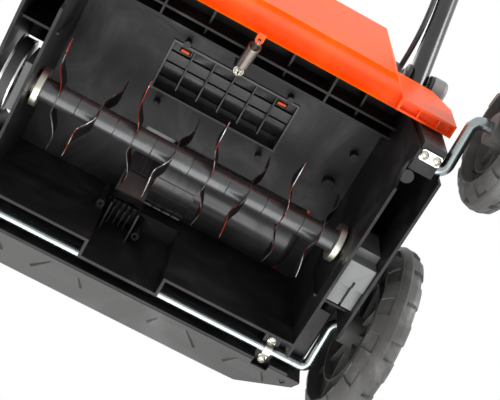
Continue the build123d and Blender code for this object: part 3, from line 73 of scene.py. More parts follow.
def makeCamera():
    forward = Vector(cameraView["toward"]).normalized()
    right = forward.cross(Vector(cameraView["upward"])).normalized()
    up = right.cross(forward)
    turn = Matrix((right, up, -forward)).transposed().to_4x4()
    data = bpy.data.cameras.new("workshopCamera")
    data.lens = cameraView["lens"]
    data.sensor_width = cameraView["sensor"]
    data.clip_start = 0.02
    camera = bpy.data.objects.new("workshopCamera", data)
    camera.matrix_world = Matrix.Translation(Vector(spot(*cameraView["eye"]))) @ turn
    bpy.context.scene.collection.objects.link(camera)
    bpy.context.scene.camera = camera


makeCamera()
print("camera placed")


# the small helpers below make and join shader nodes
def newMaterial(name):
    material = bpy.data.materials.new(name)
    material.use_nodes = True
    tree = material.node_tree
    shader = tree.nodes["Principled BSDF"]
    return material, tree, shader


def put(tree, kind, values=None, **settings):
    node = tree.nodes.new(kind)
    for key, value in settings.items():
        setattr(node, key, value)
    for key, value in (values or {}).items():
        node.inputs[key].default_value = value
    return node


def join(tree, source, outName, target, inName):
    tree.links.new(source.outputs[outName], target.inputs[inName])


def newGroup(name, inputs, outputs):
    group = bpy.data.node_groups.new(name, "ShaderNodeTree")
    for label, kind, value in inputs:
        socket = group.interface.new_socket(label, in_out="INPUT", socket_type="NodeSocket" + kind)
        if value is not None:
            socket.default_value = value
    for label, kind in outputs:
        group.interface.new_socket(label, in_out="OUTPUT", socket_type="NodeSocket" + kind)
    return group, group.nodes.new("NodeGroupInput"), group.nodes.new("NodeGroupOutput")


def useGroup(tree, group, values=None):
    node = tree.nodes.new("ShaderNodeGroup")
    node.node_tree = group
    for key, value in (values or {}).items():
        node.inputs[key].default_value = value
    coords = tree.nodes.new("ShaderNodeTexCoord")
    tree.links.new(coords.outputs["Object"], node.inputs["Vector"])
    return node


# greasy smears and dust of a used machine: a twisted noise, cut softly; on the knives the same mask places
# patches of painted red reflection
def makeSmearGroup():
    group, start, end = newGroup("usedSmears", [("Vector", "Vector", None), ("Scale", "Float", 9.0),
                                                ("Low", "Float", 0.45), ("High", "Float", 0.75)],
                                 [("Mask", "Float")])
    wide = put(group, "ShaderNodeTexNoise", {"Detail": 5.0, "Roughness": 0.6, "Distortion": 1.4})
    group.links.new(start.outputs["Vector"], wide.inputs["Vector"])
    group.links.new(start.outputs["Scale"], wide.inputs["Scale"])
    cut = put(group, "ShaderNodeMapRange", interpolation_type="SMOOTHSTEP")
    join(group, wide, "Fac", cut, "Value")
    group.links.new(start.outputs["Low"], cut.inputs["From Min"])
    group.links.new(start.outputs["High"], cut.inputs["From Max"])
    group.links.new(cut.outputs["Result"], end.inputs["Mask"])
    return group


# the fine texture of a mould: a small-celled noise as height
def makeGrainGroup():
    group, start, end = newGroup("mouldGrain", [("Vector", "Vector", None), ("Scale", "Float", 1400.0)],
                                 [("Height", "Float")])
    cells = put(group, "ShaderNodeTexNoise", {"Detail": 3.0, "Roughness": 0.55})
    group.links.new(start.outputs["Vector"], cells.inputs["Vector"])
    group.links.new(start.outputs["Scale"], cells.inputs["Scale"])
    group.links.new(cells.outputs["Fac"], end.inputs["Height"])
    return group


drawnStretch = (20.0, 900.0, 900.0)


# drawing and rolling marks on steel: noise stretched along X
def makeDrawnGroup():
    group, start, end = newGroup("drawnMarks", [("Vector", "Vector", None),
                                                ("Stretch", "Vector", drawnStretch)], [("Mask", "Float")])
    scale = put(group, "ShaderNodeVectorMath", operation="MULTIPLY")
    group.links.new(start.outputs["Vector"], scale.inputs[0])
    group.links.new(start.outputs["Stretch"], scale.inputs[1])
    lines = put(group, "ShaderNodeTexNoise", {"Scale": 1.0, "Detail": 4.0})
    group.links.new(scale.outputs["Vector"], lines.inputs["Vector"])
    group.links.new(lines.outputs["Fac"], end.inputs["Mask"])
    return group


smearGroup = makeSmearGroup()
grainGroup = makeGrainGroup()
drawnGroup = makeDrawnGroup()


def mixColour(tree, mask, maskOut, colourA, colourB):
    mix = put(tree, "ShaderNodeMix", data_type="RGBA")
    join(tree, mask, maskOut, mix, "Factor")
    mix.inputs["A"].default_value = (*colourA, 1)
    mix.inputs["B"].default_value = (*colourB, 1)
    return mix


def spread(tree, mask, maskOut, low, high):
    node = put(tree, "ShaderNodeMapRange", {"To Min": low, "To Max": high})
    join(tree, mask, maskOut, node, "Value")
    return node


lightSpread = (0.010, 0.003, 0.001)  # how far red, green and blue light goes inside soft plastic, in metres


# moulded plastic: a base colour with paler smears, roughness that follows them, and fine grain
def plasticMaterial(name, base, smeared, rough, smearScale=9.0, grainScale=1400.0, grainDepth=0.00004,
                    cut=(0.45, 0.75), coat=0.0, coatRough=0.2, soft=0.0, shine=0.5, metal=0.0):
    material, tree, shader = newMaterial(name)
    patchMask = useGroup(tree, smearGroup, {"Scale": smearScale, "Low": cut[0], "High": cut[1]})
    colour = mixColour(tree, patchMask, "Mask", base, smeared)
    tree.links.new(colour.outputs["Result"], shader.inputs["Base Color"])
    roughness = spread(tree, patchMask, "Mask", *rough)
    join(tree, roughness, "Result", shader, "Roughness")
    grain = useGroup(tree, grainGroup, {"Scale": grainScale})
    bump = put(tree, "ShaderNodeBump", {"Distance": grainDepth, "Strength": 1.0})
    join(tree, grain, "Height", bump, "Height")
    join(tree, bump, "Normal", shader, "Normal")
    shader.inputs["Coat Weight"].default_value = coat
    shader.inputs["Coat Roughness"].default_value = coatRough
    shader.inputs["Specular IOR Level"].default_value = shine
    shader.inputs["Metallic"].default_value = metal
    shader.inputs["Subsurface Weight"].default_value = soft
    shader.inputs["Subsurface Radius"].default_value = lightSpread
    shader.inputs["Subsurface Scale"].default_value = 1.0
    return material


# bare or plated steel: metallic, with dull patches in colour and drawn marks in roughness
def steelMaterial(name, bright, dull, rough, stretch=drawnStretch, smearScale=30.0, cut=(0.5, 0.8),
                  coat=0.3):
    material, tree, shader = newMaterial(name)
    shader.inputs["Metallic"].default_value = 1.0
    shader.inputs["Coat Weight"].default_value = coat
    patchMask = useGroup(tree, smearGroup, {"Scale": smearScale, "Low": cut[0], "High": cut[1]})
    colour = mixColour(tree, patchMask, "Mask", bright, dull)
    tree.links.new(colour.outputs["Result"], shader.inputs["Base Color"])
    marks = useGroup(tree, drawnGroup, {"Stretch": stretch})
    roughness = spread(tree, marks, "Mask", *rough)
    join(tree, roughness, "Result", shader, "Roughness")
    return material


deckPlastic = plasticMaterial("deckPlastic", (0.009, 0.0085, 0.009), (0.035, 0.035, 0.036), (0.42, 0.3),
                              smearScale=11.0, cut=(0.40, 0.75), shine=0.22)
pocketPlastic = plasticMaterial("pocketPlastic", (0.01, 0.01, 0.011), (0.03, 0.03, 0.032), (0.33, 0.25),
                                smearScale=16.0, grainDepth=0.00002, shine=0.5)
bumperPlastic = plasticMaterial("bumperPlastic", (0.034, 0.033, 0.032), (0.06, 0.058, 0.057), (0.5, 0.42),
                                grainScale=2200.0, grainDepth=0.00006)
orangePlastic = plasticMaterial("orangePlastic", (1.0, 0.085, 0.0), (1.0, 0.13, 0.004), (0.36, 0.44),
                                smearScale=6.0, grainDepth=0.00002, soft=0.35, shine=0.25)
# motor cover plastic: its own higher gloss, and a base colour twice as light as the deck's, which is
# painted light standing in for the lamp light on the belly
coverPlastic = plasticMaterial("coverPlastic", (0.018, 0.018, 0.019), (0.05, 0.05, 0.052), (0.36, 0.27),
                               smearScale=14.0, grainDepth=0.00002, cut=(0.4, 0.7), coat=0.2, shine=0.6)
blackPlastic = plasticMaterial("blackPlastic", (0.008, 0.008, 0.008), (0.02, 0.02, 0.02), (0.45, 0.35))
greyPlastic = plasticMaterial("greyPlastic", (0.17, 0.173, 0.173), (0.24, 0.244, 0.244), (0.45, 0.38))
wheelPlastic = plasticMaterial("wheelPlastic", (0.004, 0.004, 0.005), (0.01, 0.01, 0.011), (0.35, 0.28),
                               shine=0.3)
tyreRubber = plasticMaterial("tyreRubber", (0.055, 0.054, 0.052), (0.12, 0.118, 0.112), (0.6, 0.45),
                             smearScale=18.0, grainScale=1900.0, grainDepth=0.00008)
sleevePaint = plasticMaterial("sleevePaint", (0.07, 0.071, 0.073), (0.12, 0.121, 0.124), (0.34, 0.46),
                              smearScale=40.0, grainScale=2600.0, cut=(0.5, 0.8), coat=0.3, metal=0.6)
tubePaint = plasticMaterial("tubePaint", (0.006, 0.006, 0.006), (0.014, 0.014, 0.014), (0.2, 0.28),
                            coat=0.3)
leadRubber = plasticMaterial("leadRubber", (0.02, 0.02, 0.02), (0.035, 0.035, 0.035), (0.5, 0.45))
foamRubber = plasticMaterial("foamRubber", (0.015, 0.015, 0.015), (0.025, 0.025, 0.025), (0.9, 0.85),
                             grainScale=700.0, grainDepth=0.0004)
zincBright = steelMaterial("zincBright", (0.31, 0.35, 0.35), (0.2, 0.23, 0.23), (0.2, 0.32))
zincPale = steelMaterial("zincPale", (0.75, 0.74, 0.68), (0.6, 0.59, 0.52), (0.3, 0.42),
                         stretch=(300.0,) * 3)
zincDull = steelMaterial("zincDull", (0.6, 0.58, 0.5), (0.4, 0.39, 0.33), (0.32, 0.48),
                         stretch=(300.0,) * 3)


# knives: black scale on the faces and worn bright steel where the edge number of the mesh is high, with
# patches of painted red reflection of the orange flap there
def bladeMaterial(name, face, bright, paintedFlapReflection, rough=(0.5, 0.32), metal=0.85):
    material, tree, shader = newMaterial(name)
    shader.inputs["Metallic"].default_value = metal
    wear = put(tree, "ShaderNodeAttribute", attribute_name="edge")
    patchMask = useGroup(tree, smearGroup, {"Scale": 26.0, "Low": 0.46, "High": 0.56})
    # the second colour is a painted red reflection of the orange flap, laid in patches over the worn bright
    # edges
    wornAndFlapReflection = mixColour(tree, patchMask, "Mask", bright, paintedFlapReflection)
    mix = put(tree, "ShaderNodeMix", data_type="RGBA")
    join(tree, wear, "Fac", mix, "Factor")
    mix.inputs["A"].default_value = (*face, 1)
    tree.links.new(wornAndFlapReflection.outputs["Result"], mix.inputs["B"])
    tree.links.new(mix.outputs["Result"], shader.inputs["Base Color"])
    roughness = spread(tree, wear, "Fac", *rough)
    join(tree, roughness, "Result", shader, "Roughness")
    return material


# knife colours: scale, worn bright steel, and a painted red reflection of the orange flap
knifeSteel = bladeMaterial("knifeSteel", (0.025, 0.025, 0.027), (0.5, 0.5, 0.49), (0.32, 0.03, 0.015))
springSteel = steelMaterial("springSteel", (0.28, 0.24, 0.22), (0.5, 0.48, 0.46), (0.3, 0.5),
                            stretch=(500.0,) * 3)
pulleyMetal = steelMaterial("pulleyMetal", (0.6, 0.6, 0.61), (0.45, 0.45, 0.46), (0.25, 0.4))
chromeMetal = steelMaterial("chromeMetal", (0.85, 0.85, 0.86), (0.7, 0.7, 0.7), (0.08, 0.15))
print("materials made")

# finish of the CAD pieces that stay
nodeFinish = {
    "deck_black": deckPlastic, "bumper_grey": bumperPlastic, "orange": orangePlastic,
    "black_plastic": blackPlastic, "grey_plastic": greyPlastic, "zinc": zincBright,
    "knife_steel": knifeSteel, "sleeve_black": sleevePaint, "tube_black": tubePaint,
    "pulley": pulleyMetal, "motor_steel": pulleyMetal, "rubber": leadRubber, "wheel_black": wheelPlastic,
    "chrome": chromeMetal, "spring_steel": springSteel}
for entry in frame["record"]["subparts"]:
    mesh = frame["nodes"][entry["node"]].data
    mesh.materials.clear()
    mesh.materials.append(nodeFinish[entry["material_slot"]])
for name in ("handle_grip", "lever_grip"):
    frame["nodes"][name].data.materials[0] = foamRubber
frame["nodes"]["ribbed_pocket"].data.materials[0] = pocketPlastic


# finishes a mesh as a piece: links it, gives it its finish and body, and hides the CAD pieces it stands for
def addPiece(mesh, name, material, body, stands=(), angle=None):
    piece = bpy.data.objects.new(name, mesh)
    bpy.context.scene.collection.objects.link(piece)
    mesh.materials.clear()
    for finish in material if isinstance(material, list) else [material]:
        mesh.materials.append(finish)
    if angle is None:
        mesh.shade_smooth()
    else:
        mesh.set_sharp_from_angle(angle=math.radians(angle))
    if body:
        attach(piece, body)
    if stands:
        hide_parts(*stands)
    return piece


# points and quads of a grid: quads lie between neighbouring rows and columns, a closed direction joins its
# last line to its first, and a tube open in its rows gets one flat face over each end
def gridPart(grid, closedRows=False, closedColumns=True):
    rows, columns = grid.shape[:2]
    index = np.arange(rows * columns).reshape(rows, columns)
    down = np.roll(index, -1, 0) if closedRows else index[1:]
    here = index if closedRows else index[:-1]
    if closedColumns:
        quads = np.stack([here, np.roll(here, -1, 1), np.roll(down, -1, 1), down], -1)
    else:
        quads = np.stack([here[:, :-1], here[:, 1:], down[:, 1:], down[:, :-1]], -1)
    faces = quads.reshape(-1, 4).tolist()
    if closedColumns and not closedRows:
        faces += [index[0][::-1].tolist(), index[-1].tolist()]
    return grid.reshape(-1, 3), faces


# one mesh of several parts, each closed one with its faces turned outwards; edge is a number per point
# that a material reads, and finish is one finish number per part
def meshOf(name, parts, edge=None, finish=None):
    counts = np.cumsum([0] + [len(points) for points, faces in parts])
    faces = [[i + start for i in face] for start, (points, group) in zip(counts, parts) for face in group]
    mesh = bpy.data.meshes.new(name)
    mesh.from_pydata(np.concatenate([points for points, group in parts]), [], faces)
    if edge is not None:
        mesh.attributes.new("edge", "FLOAT", "POINT").data.foreach_set("value", edge.astype(np.float32))
    if finish is not None:
        sizes = [len(group) for points, group in parts]
        mesh.polygons.foreach_set("material_index", np.repeat(finish, sizes))
    work = bmesh.new()
    work.from_mesh(mesh)
    bmesh.ops.recalc_face_normals(work, faces=work.faces)
    work.to_mesh(mesh)
    work.free()
    return mesh


# a flat-sided box given by its ranges in millimetres from the rotor's axis
def boxPart(x, y, z):
    corners = np.array([[(x[i], y[j], z[k]) for i, j in ((0, 0), (1, 0), (1, 1), (0, 1))] for k in (0, 1)])
    return gridPart(spot(*np.moveaxis(corners, -1, 0)))


# rounds the edges sharper than an angle with a bevel of a set width in metres
def softenEdges(piece, width, segments, angle):
    bevel = piece.modifiers.new("roundedEdges", "BEVEL")
    bevel.width = width
    bevel.segments = segments
    bevel.limit_method = "ANGLE"
    bevel.angle_limit = math.radians(angle)
    bevel.harden_normals = True


# a copy of a CAD piece with its loose triangles merged, flat areas made whole and its edges rounded
def softenedCopy(node, name, body, slot, width, segments, material=None, angle=32):
    source = frame["nodes"][node]
    work = bmesh.new()
    work.from_mesh(source.data)
    bmesh.ops.remove_doubles(work, verts=work.verts, dist=0.000002)
    bmesh.ops.dissolve_limit(work, angle_limit=math.radians(0.6), verts=work.verts, edges=work.edges)
    mesh = bpy.data.meshes.new(name)
    work.to_mesh(mesh)
    work.free()
    piece = addPiece(mesh, name, material or source.data.materials[0], body, (node,), angle=angle)
    softenEdges(piece, width, segments, angle)


sideVector = np.array([0.9, 0.3, 0.31])


# a round section carried along a path: rings square to the path's direction, turned to a fixed side vector
def tubeGrid(path, radius, sides, side):
    path = np.asarray(path, float)
    tangent = np.gradient(path, axis=0)
    tangent /= np.linalg.norm(tangent, axis=1, keepdims=True)
    across = np.cross(tangent, side)
    across /= np.linalg.norm(across, axis=1, keepdims=True)
    third = np.cross(tangent, across)
    turn = np.linspace(0, 2 * np.pi, sides, endpoint=False)
    radius = np.broadcast_to(radius, len(path))[:, None, None]
    return path[:, None] + radius * (np.cos(turn)[None, :, None] * across[:, None]
                                     + np.sin(turn)[None, :, None] * third[:, None])


# a profile of (x, radius) pairs turned about an axis along X through y, z
def turnedGrid(profile, y, z, sides=96):
    profile = np.asarray(profile, float)
    turn = np.linspace(0, 2 * np.pi, sides, endpoint=False)
    x = np.repeat(profile[:, :1], sides, 1)
    return spot(x, y + profile[:, 1:] * np.cos(turn), z + profile[:, 1:] * np.sin(turn))


# polyline with its corners rounded by arcs of the given radius, as evenly spaced points
def roundedPath(points, radius, step=2.0):
    points = np.asarray(points, float)
    pieces = [points[0][None]]
    for before, corner, after in zip(points, points[1:], points[2:]):
        a = (before - corner) / np.linalg.norm(before - corner)
        b = (after - corner) / np.linalg.norm(after - corner)
        half = np.arccos(np.clip(a @ b, -1, 1)) / 2
        cut = radius / np.tan(half)
        middle = corner + (a + b) / np.linalg.norm(a + b) * radius / np.sin(half)
        t = np.linspace(0, 1, 13)[:, None]
        start, end = corner + a * cut - middle, corner + b * cut - middle
        sweep = np.pi - 2 * half
        pieces.append(middle + (np.sin((1 - t) * sweep) * start + np.sin(t * sweep) * end) / np.sin(sweep))
    pieces.append(points[-1][None])
    raw = np.concatenate(pieces)
    run = np.concatenate([[0], np.cumsum(np.linalg.norm(np.diff(raw, axis=0), axis=1))])
    at = np.unique(np.concatenate([run, np.arange(0, run[-1], step)]))
    at = at[np.concatenate([[True], np.diff(at) > 0.05])]
    return np.stack([np.interp(at, run, raw[:, i]) for i in range(3)], 1)


# knives
knife = {"reach": 71.0, "alongArm": (0, 11, 17, 27, 38, 50, 62, 69, 71),
         "halfWidth": (12.5, 12.2, 10.2, 8.6, 9.6, 8.4, 5.2, 2.0, 0.6),
         "thick": 2.0, "thinFrom": (0, 60, 71), "thinTo": (1, 0.9, 0.45), "set": 10.5, "bendFrom": 11.0,
         "bendTo": 46.0, "twist": 6.0, "twistFrom": 15, "twistOver": 50,
         "stations": 121, "around": 24, "pitch": 41.0, "count": 8, "first": -20.0, "turn": -90.0,
         "edgeWearAndReflection": 9}


# along the knife the half width falls from the hub to a waist, swells to a leaf and thins to the tip; a
# smooth step carries each arm to its own side; the section is a flat lens turned a little about the arm
def knifeGrid(x, angle):
    r = np.linspace(-1, 1, knife["stations"]) * knife["reach"]
    far = np.abs(r)
    halfWidth = np.interp(far, knife["alongArm"], knife["halfWidth"])
    step = np.clip((far - knife["bendFrom"]) / (knife["bendTo"] - knife["bendFrom"]), 0, 1)
    side = np.sign(r) * knife["set"] * step * step * (3 - 2 * step)
    turned = np.clip((far - knife["twistFrom"]) / knife["twistOver"], 0, 1)
    twist = np.radians(knife["twist"]) * np.sin(turned * np.pi)
    phi = np.linspace(0, 2 * np.pi, knife["around"], endpoint=False)
    lens = np.sign(np.sin(phi)) * np.abs(np.sin(phi)) ** 0.55 * knife["thick"] / 2
    wide = halfWidth[:, None] * np.sign(np.cos(phi)) * np.abs(np.cos(phi)) ** 0.8
    thin = lens * np.interp(far, knife["thinFrom"], knife["thinTo"])[:, None]
    across = wide * np.cos(twist)[:, None] - thin * np.sin(twist)[:, None]
    sideways = wide * np.sin(twist)[:, None] + thin * np.cos(twist)[:, None]
    c, s = math.cos(math.radians(angle)), math.sin(math.radians(angle))
    return spot(x + side[:, None] + sideways, r[:, None] * c - across * s, r[:, None] * s + across * c)


def makeKnives():
    last = knife["pitch"] * (knife["count"] - 1) / 2
    for name, first, node in (("outerKnives", 0, "blades_outer_set"),
                              ("innerKnives", 1, "blades_inner_set")):
        angle = knife["first"] + first * knife["turn"]
        grids = [knifeGrid(last - i * knife["pitch"], angle) for i in range(first, knife["count"], 2)]
        phi = np.linspace(0, 2 * np.pi, knife["around"], endpoint=False)
        # this mask places the bright wear and the painted red reflection on the knife edges
        edge = np.tile(np.abs(np.cos(phi)) ** knife["edgeWearAndReflection"], knife["stations"] * len(grids))
        addPiece(meshOf(name, [gridPart(g) for g in grids], edge), name, knifeSteel, "rotor",
                 (node,), angle=40)


makeKnives()
print("knives made")

# sleeves and end discs
sleeve = {"radius": 11.8, "length": 20.35, "chamfer": 0.45, "pitch": 20.5, "count": 16, "bore": 7.6}


# a short tube: the profile goes up one face, over a small chamfer, along and down the other face
def sleeveGrid(middle):
    half, edge, radius = sleeve["length"] / 2, sleeve["chamfer"], sleeve["radius"]
    rise = [(half - 2.5, radius), (half - edge - 0.3, radius), (half - edge, radius - 0.03),
            (half - 0.12, radius - 0.14), (half, radius - edge), (half, sleeve["bore"])]
    profile = [(-x, r) for x, r in rise[::-1]] + rise
    return turnedGrid(np.array(profile) + (middle, 0), 0, 0, 72)


def makeSleeves():
    middles = (np.arange(sleeve["count"]) - (sleeve["count"] - 1) / 2) * sleeve["pitch"]
    parts = [gridPart(sleeveGrid(x), closedRows=True) for x in middles]
    addPiece(meshOf("spacerSleeves", parts), "spacerSleeves", sleevePaint, "rotor",
             ("spacer_sleeves",), angle=38)


makeSleeves()

endDisc = {"face": 164.15, "rim": 159.9, "radius": 20.0, "thick": 2.5, "round": 0.6, "hub": 11.5,
           "bore": 7.6, "clear": 12.1, "boss": 2.5}


# a cupped disc turned about the axle: bore, cup wall, rounded rim, outer face and hub
def makeEndDiscs():
    parts = []
    for side in (-1, 1):
        near, far = endDisc["face"], endDisc["face"] + endDisc["thick"]
        rim, radius, bore, clear = endDisc["rim"], endDisc["radius"], endDisc["bore"], endDisc["clear"]
        profile = [(near, bore), (near, clear), (rim + 0.3, clear), (rim, clear + 0.4),
                   (rim, radius - endDisc["round"]), (rim + 0.4, radius),
                   (far - 0.3, radius), (far, radius - endDisc["round"]),
                   (far, endDisc["hub"]), (far + endDisc["boss"], endDisc["hub"] - 0.4),
                   (far + endDisc["boss"], bore)]
        parts.append(gridPart(turnedGrid(np.array(profile) * (side, 1), 0, 0), closedRows=True))
    addPiece(meshOf("endDiscs", parts), "endDiscs", zincDull, "rotor", ("end_discs",),
             angle=35)


makeEndDiscs()
print("rotor made")

# the flap's spring and its screw
flapSpring = {"lug": (1.5, 143.0, 1.0), "screw": (1.5, 95.0, 46.0), "coil": 5.6, "wire": 1.05, "turns": 17,
              "lead": 12.0, "tail": 12.0, "footHook": 3.4, "headHook": 4.4}


# a helix between two straight ends, which hook through the lug and over the screw
def makeSpring():
    low, high = np.array(flapSpring["lug"]), np.array(flapSpring["screw"])
    length = np.linalg.norm(high - low)
    axis = (high - low) / length
    side = np.array([1.0, 0, 0])
    third = np.cross(axis, side)
    t = np.linspace(0, 1, flapSpring["turns"] * 26)
    turn = t * flapSpring["turns"] * 2 * np.pi
    swell = flapSpring["coil"] * np.clip(np.minimum(t, 1 - t) * 40, 0.25, 1)
    along = flapSpring["lead"] + t * (length - flapSpring["lead"] - flapSpring["tail"])
    coil = low + along[:, None] * axis + swell[:, None] * (np.cos(turn)[:, None] * side
                                                           + np.sin(turn)[:, None] * third)
    hook = np.linspace(0, 1.6 * np.pi, 26)[:, None]
    small, large = flapSpring["footHook"], flapSpring["headHook"]
    foot = low + axis * small - small * (np.cos(hook) * axis + np.sin(hook) * third)
    head = high - axis * large + large * (np.cos(hook) * axis - np.sin(hook) * third)
    share = np.linspace(0.1, 0.9, 6)[:, None]
    path = np.concatenate([foot[::-1][:-1], foot[:1] + (coil[:1] - foot[:1]) * share, coil,
                           coil[-1:] + (head[:1] - coil[-1:]) * share, head[1:]])
    grid = tubeGrid(spot(*path.T), flapSpring["wire"] / 1000, 10, sideVector)
    piece = addPiece(meshOf("flapSpringCoil", [gridPart(grid)]), "flapSpringCoil", springSteel, None,
                     ("flap_spring",))
    spot(*high)
    spot(*low)
    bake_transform(piece)


makeSpring()


# a pan head with a cross cut into it: height over the disc falls with the radius, and two crossed
# slots that narrow outwards are taken out of it
def panHeadGrid(radius, height, slotHalf=0.95, slotReach=0.62, depth=1.5):
    r = np.concatenate([[0.001], np.linspace(0.06, 1, 26), [1.0, 1.0]]) * radius
    turn = np.linspace(0, 2 * np.pi, 72, endpoint=False)
    u, v = r[:, None] * np.cos(turn), r[:, None] * np.sin(turn)
    dome = height * np.sqrt(np.clip(1 - (r / radius * 0.86) ** 2, 0, 1))[:, None] * np.ones_like(u)
    reach = slotReach * radius
    arm = np.minimum(np.where(np.abs(u) < reach, np.abs(v), 9), np.where(np.abs(v) < reach, np.abs(u), 9))
    cross = np.clip((slotHalf - arm) / 0.25 + 0.5, 0, 1)
    dome = dome - cross * depth
    dome[-2] = 0.35 * height
    dome[-1] = 0
    return np.stack([u, v, dome], -1)


screws = {"spring": (1.5, 95.0, 44.4), "frontSide": 160, "frontRod": -134.5, "frontShift": 12.6,
          "frontSeat": -12.0, "rearBack": 134.5, "rearSides": (179.0, 192.0), "rearSeat": -47.0,
          "bumper": (189.0, -156.0, -18.0)}


# a screw head at each place, facing down
def screwHeads(name, places, radius, height, stands, washer=0.0, material=None):
    parts = []
    for x, y, z in places:
        head = panHeadGrid(radius, height)
        parts.append(gridPart(spot(x + head[..., 0], y + head[..., 1], z - head[..., 2])))
        if washer:
            ring = np.array([(0.0, 2.0), (0.0, washer - 0.3), (0.3, washer), (0.8, washer),
                             (1.1, washer - 0.3), (1.1, 2.0)])
            turn = np.linspace(0, 2 * np.pi, 64, endpoint=False)
            parts.append(gridPart(spot(x + ring[:, 1:] * np.cos(turn), y + ring[:, 1:] * np.sin(turn),
                                       z - 0.1 + np.repeat(ring[:, :1], 64, 1)), closedRows=True))
    addPiece(meshOf(name, parts), name, material or zincDull, "deck", stands, angle=35)


screwHeads("springScrewHead", [screws["spring"]], radius=4.6, height=3.0, stands=("spring_screw",),
           washer=5.4)
screwHeads("saddleScrewHeads",
           [(s * screws["frontSide"], screws["frontRod"] + shift * screws["frontShift"],
             screws["frontSeat"]) for s in (-1, 1) for shift in (-1, 1)]
           + [(s * x, screws["rearBack"], screws["rearSeat"])
              for s in (-1, 1) for x in screws["rearSides"]],
           radius=4.3, height=3.2, stands=("saddle_screws",))
screwHeads("bumperScrewHeads", [(s * screws["bumper"][0], *screws["bumper"][1:]) for s in (-1, 1)],
           radius=4.4, height=2.2, stands=(), material=bumperPlastic)
print("spring and screws made")

# softened CAD copies
softEdges = {
    "deck_shell": ("deck", "deck_black", 0.0006, 2), "ribbed_pocket": ("deck", "deck_black", 0.0005, 2),
    "motor_cover": ("deck", "deck_black", 0.0006, 2, coverPlastic),
    "bearing_housings": ("deck", "grey_plastic", 0.001, 2),
    "front_bumper": ("deck", "bumper_grey", 0.0015, 3), "rear_flap": ("rear_flap", "orange", 0.0007, 3),
    "rear_saddles": ("deck", "zinc", 0.0004, 2, zincPale),
    "hood": ("deck", "orange", 0.0008, 2), "battery_lid": ("battery_lid", "orange", 0.0004, 2),
    "handle_brackets": ("deck", "black_plastic", 0.0006, 2)}
for node, (body, slot, width, segments, *finish) in softEdges.items():
    softenedCopy(node, node + "_finished", body, slot, width, segments, *finish)
print("edges rounded")

# small parts of the deck
nosePanel = {"x": (171.0, 198.8), "y": (-143.8, -70.0), "z": (-3.2, -1.2),
             "guard": (195.5, 215.7), "guardY": (-162.0, -80.0), "guardZ": (54.5, 56.2),
             "seat": (147.5, 172.5), "seatY": (-166.0, -143.2), "seatZ": (-7.9, -5.9), "bevel": 0.0006}


# flat skins beside the nose, between the chamber's walls and the cranks
def makeNosePanels():
    parts = [boxPart(sorted(side * x for x in nosePanel[across]), nosePanel[along], nosePanel[up])
             for side in (-1, 1)
             for across, along, up in (("x", "y", "z"), ("guard", "guardY", "guardZ"),
                                       ("seat", "seatY", "seatZ"))]
    piece = addPiece(meshOf("nosePanels", parts), "nosePanels", deckPlastic, "deck", angle=30)
    softenEdges(piece, nosePanel["bevel"], 2, 32)


duct = {"x": (20.4, 52.6), "low": (-84.0, 56.0), "high": (-49.6, 91.5), "sunk": -0.4, "bevel": 0.0004,
        "plates": ((0.60, 1.0, 0.9), (0.58, 0.61, 1.6), (0.0, 0.03, 1.8)),  # from, to, proud
        "ribs": 6, "ribFrom": 0.62, "ribTo": 0.98, "ribEdges": (0.3, 0.62), "ribProud": 2.9}


# ribs and cross bars on the duct's sloping panel: boxes laid along the slope, each given by its share of
# the slope's length, its place across and how far it stands proud
def makeDuctRibs():
    low, high = np.array(duct["low"]), np.array(duct["high"])
    left, right = duct["x"]
    normal = np.array([high[1] - low[1], low[0] - high[0]]) / np.linalg.norm(high - low)
    spans = [(start, end, left, right, proud) for start, end, proud in duct["plates"]]
    pitch = (right - left) / duct["ribs"]
    spans += [(duct["ribFrom"], duct["ribTo"], *(left + (i + edge) * pitch for edge in duct["ribEdges"]),
               duct["ribProud"]) for i in range(duct["ribs"])]
    parts = []
    for start, end, near, far, proud in spans:
        ends = low + np.array([[start], [end]]) * (high - low)
        ring = np.array([ends[i] + rise * normal
                         for i, rise in ((0, duct["sunk"]), (1, duct["sunk"]), (1, proud), (0, proud))])
        grid = np.array([[(x, y, z) for y, z in ring] for x in (near, far)])
        parts.append(gridPart(spot(*np.moveaxis(grid, -1, 0))))
    piece = addPiece(meshOf("ductRibs", parts), "ductRibs", deckPlastic, "deck", angle=30)
    softenEdges(piece, duct["bevel"], 2, 32)


strap = {"middles": (-160.0, 160.0), "half": 4.3, "screw": 12.6, "centre": -134.5, "height": -10.0,
         "arch": 8.3, "seat": -12.2, "thick": 2.0, "bevel": 0.0005}


# straps over the front rod: along the machine the height is the lower of the seat and a circle round the
# rod, and the half width falls away as a circle beyond the screws
def makeStraps():
    reach, arch = strap["screw"] + strap["half"] - 0.02, strap["arch"]
    along = np.concatenate([np.linspace(-reach, -arch, 24), np.linspace(0.1 - arch, arch - 0.1, 40),
                            np.linspace(arch, reach, 24)])
    past = np.clip(np.abs(along) - strap["screw"], 0, None)
    half = np.sqrt(strap["half"] ** 2 - past ** 2)
    circle = strap["height"] - np.sqrt(np.clip(arch ** 2 - along ** 2, 0, None))
    outer = np.minimum(strap["seat"], circle)
    parts = []
    for side in strap["middles"]:
        rows = [np.stack([side + a * half, strap["centre"] + along, outer + b * strap["thick"]], -1)
                for a, b in ((-1, 0), (1, 0), (1, 1), (-1, 1))]
        parts.append(gridPart(spot(*np.moveaxis(np.stack(rows, 1), -1, 0))))
    piece = addPiece(meshOf("rodStraps", parts), "rodStraps", zincPale, "deck", ("front_saddles",),
                     angle=30)
    softenEdges(piece, strap["bevel"], 2, 40)


bumperPad = {"slope": ((-147.3, -22.0), (-186.0, -8.0)), "proud": (0.3, 0.3, 2.8, 2.8), "shrink": 0.9,
             "bevel": 0.0006, "corners": (((44, -155), (77, -152), (95, -170), (36, -167)),
                                          ((136, -154), (167, -157), (174, -168), (124, -168)))}


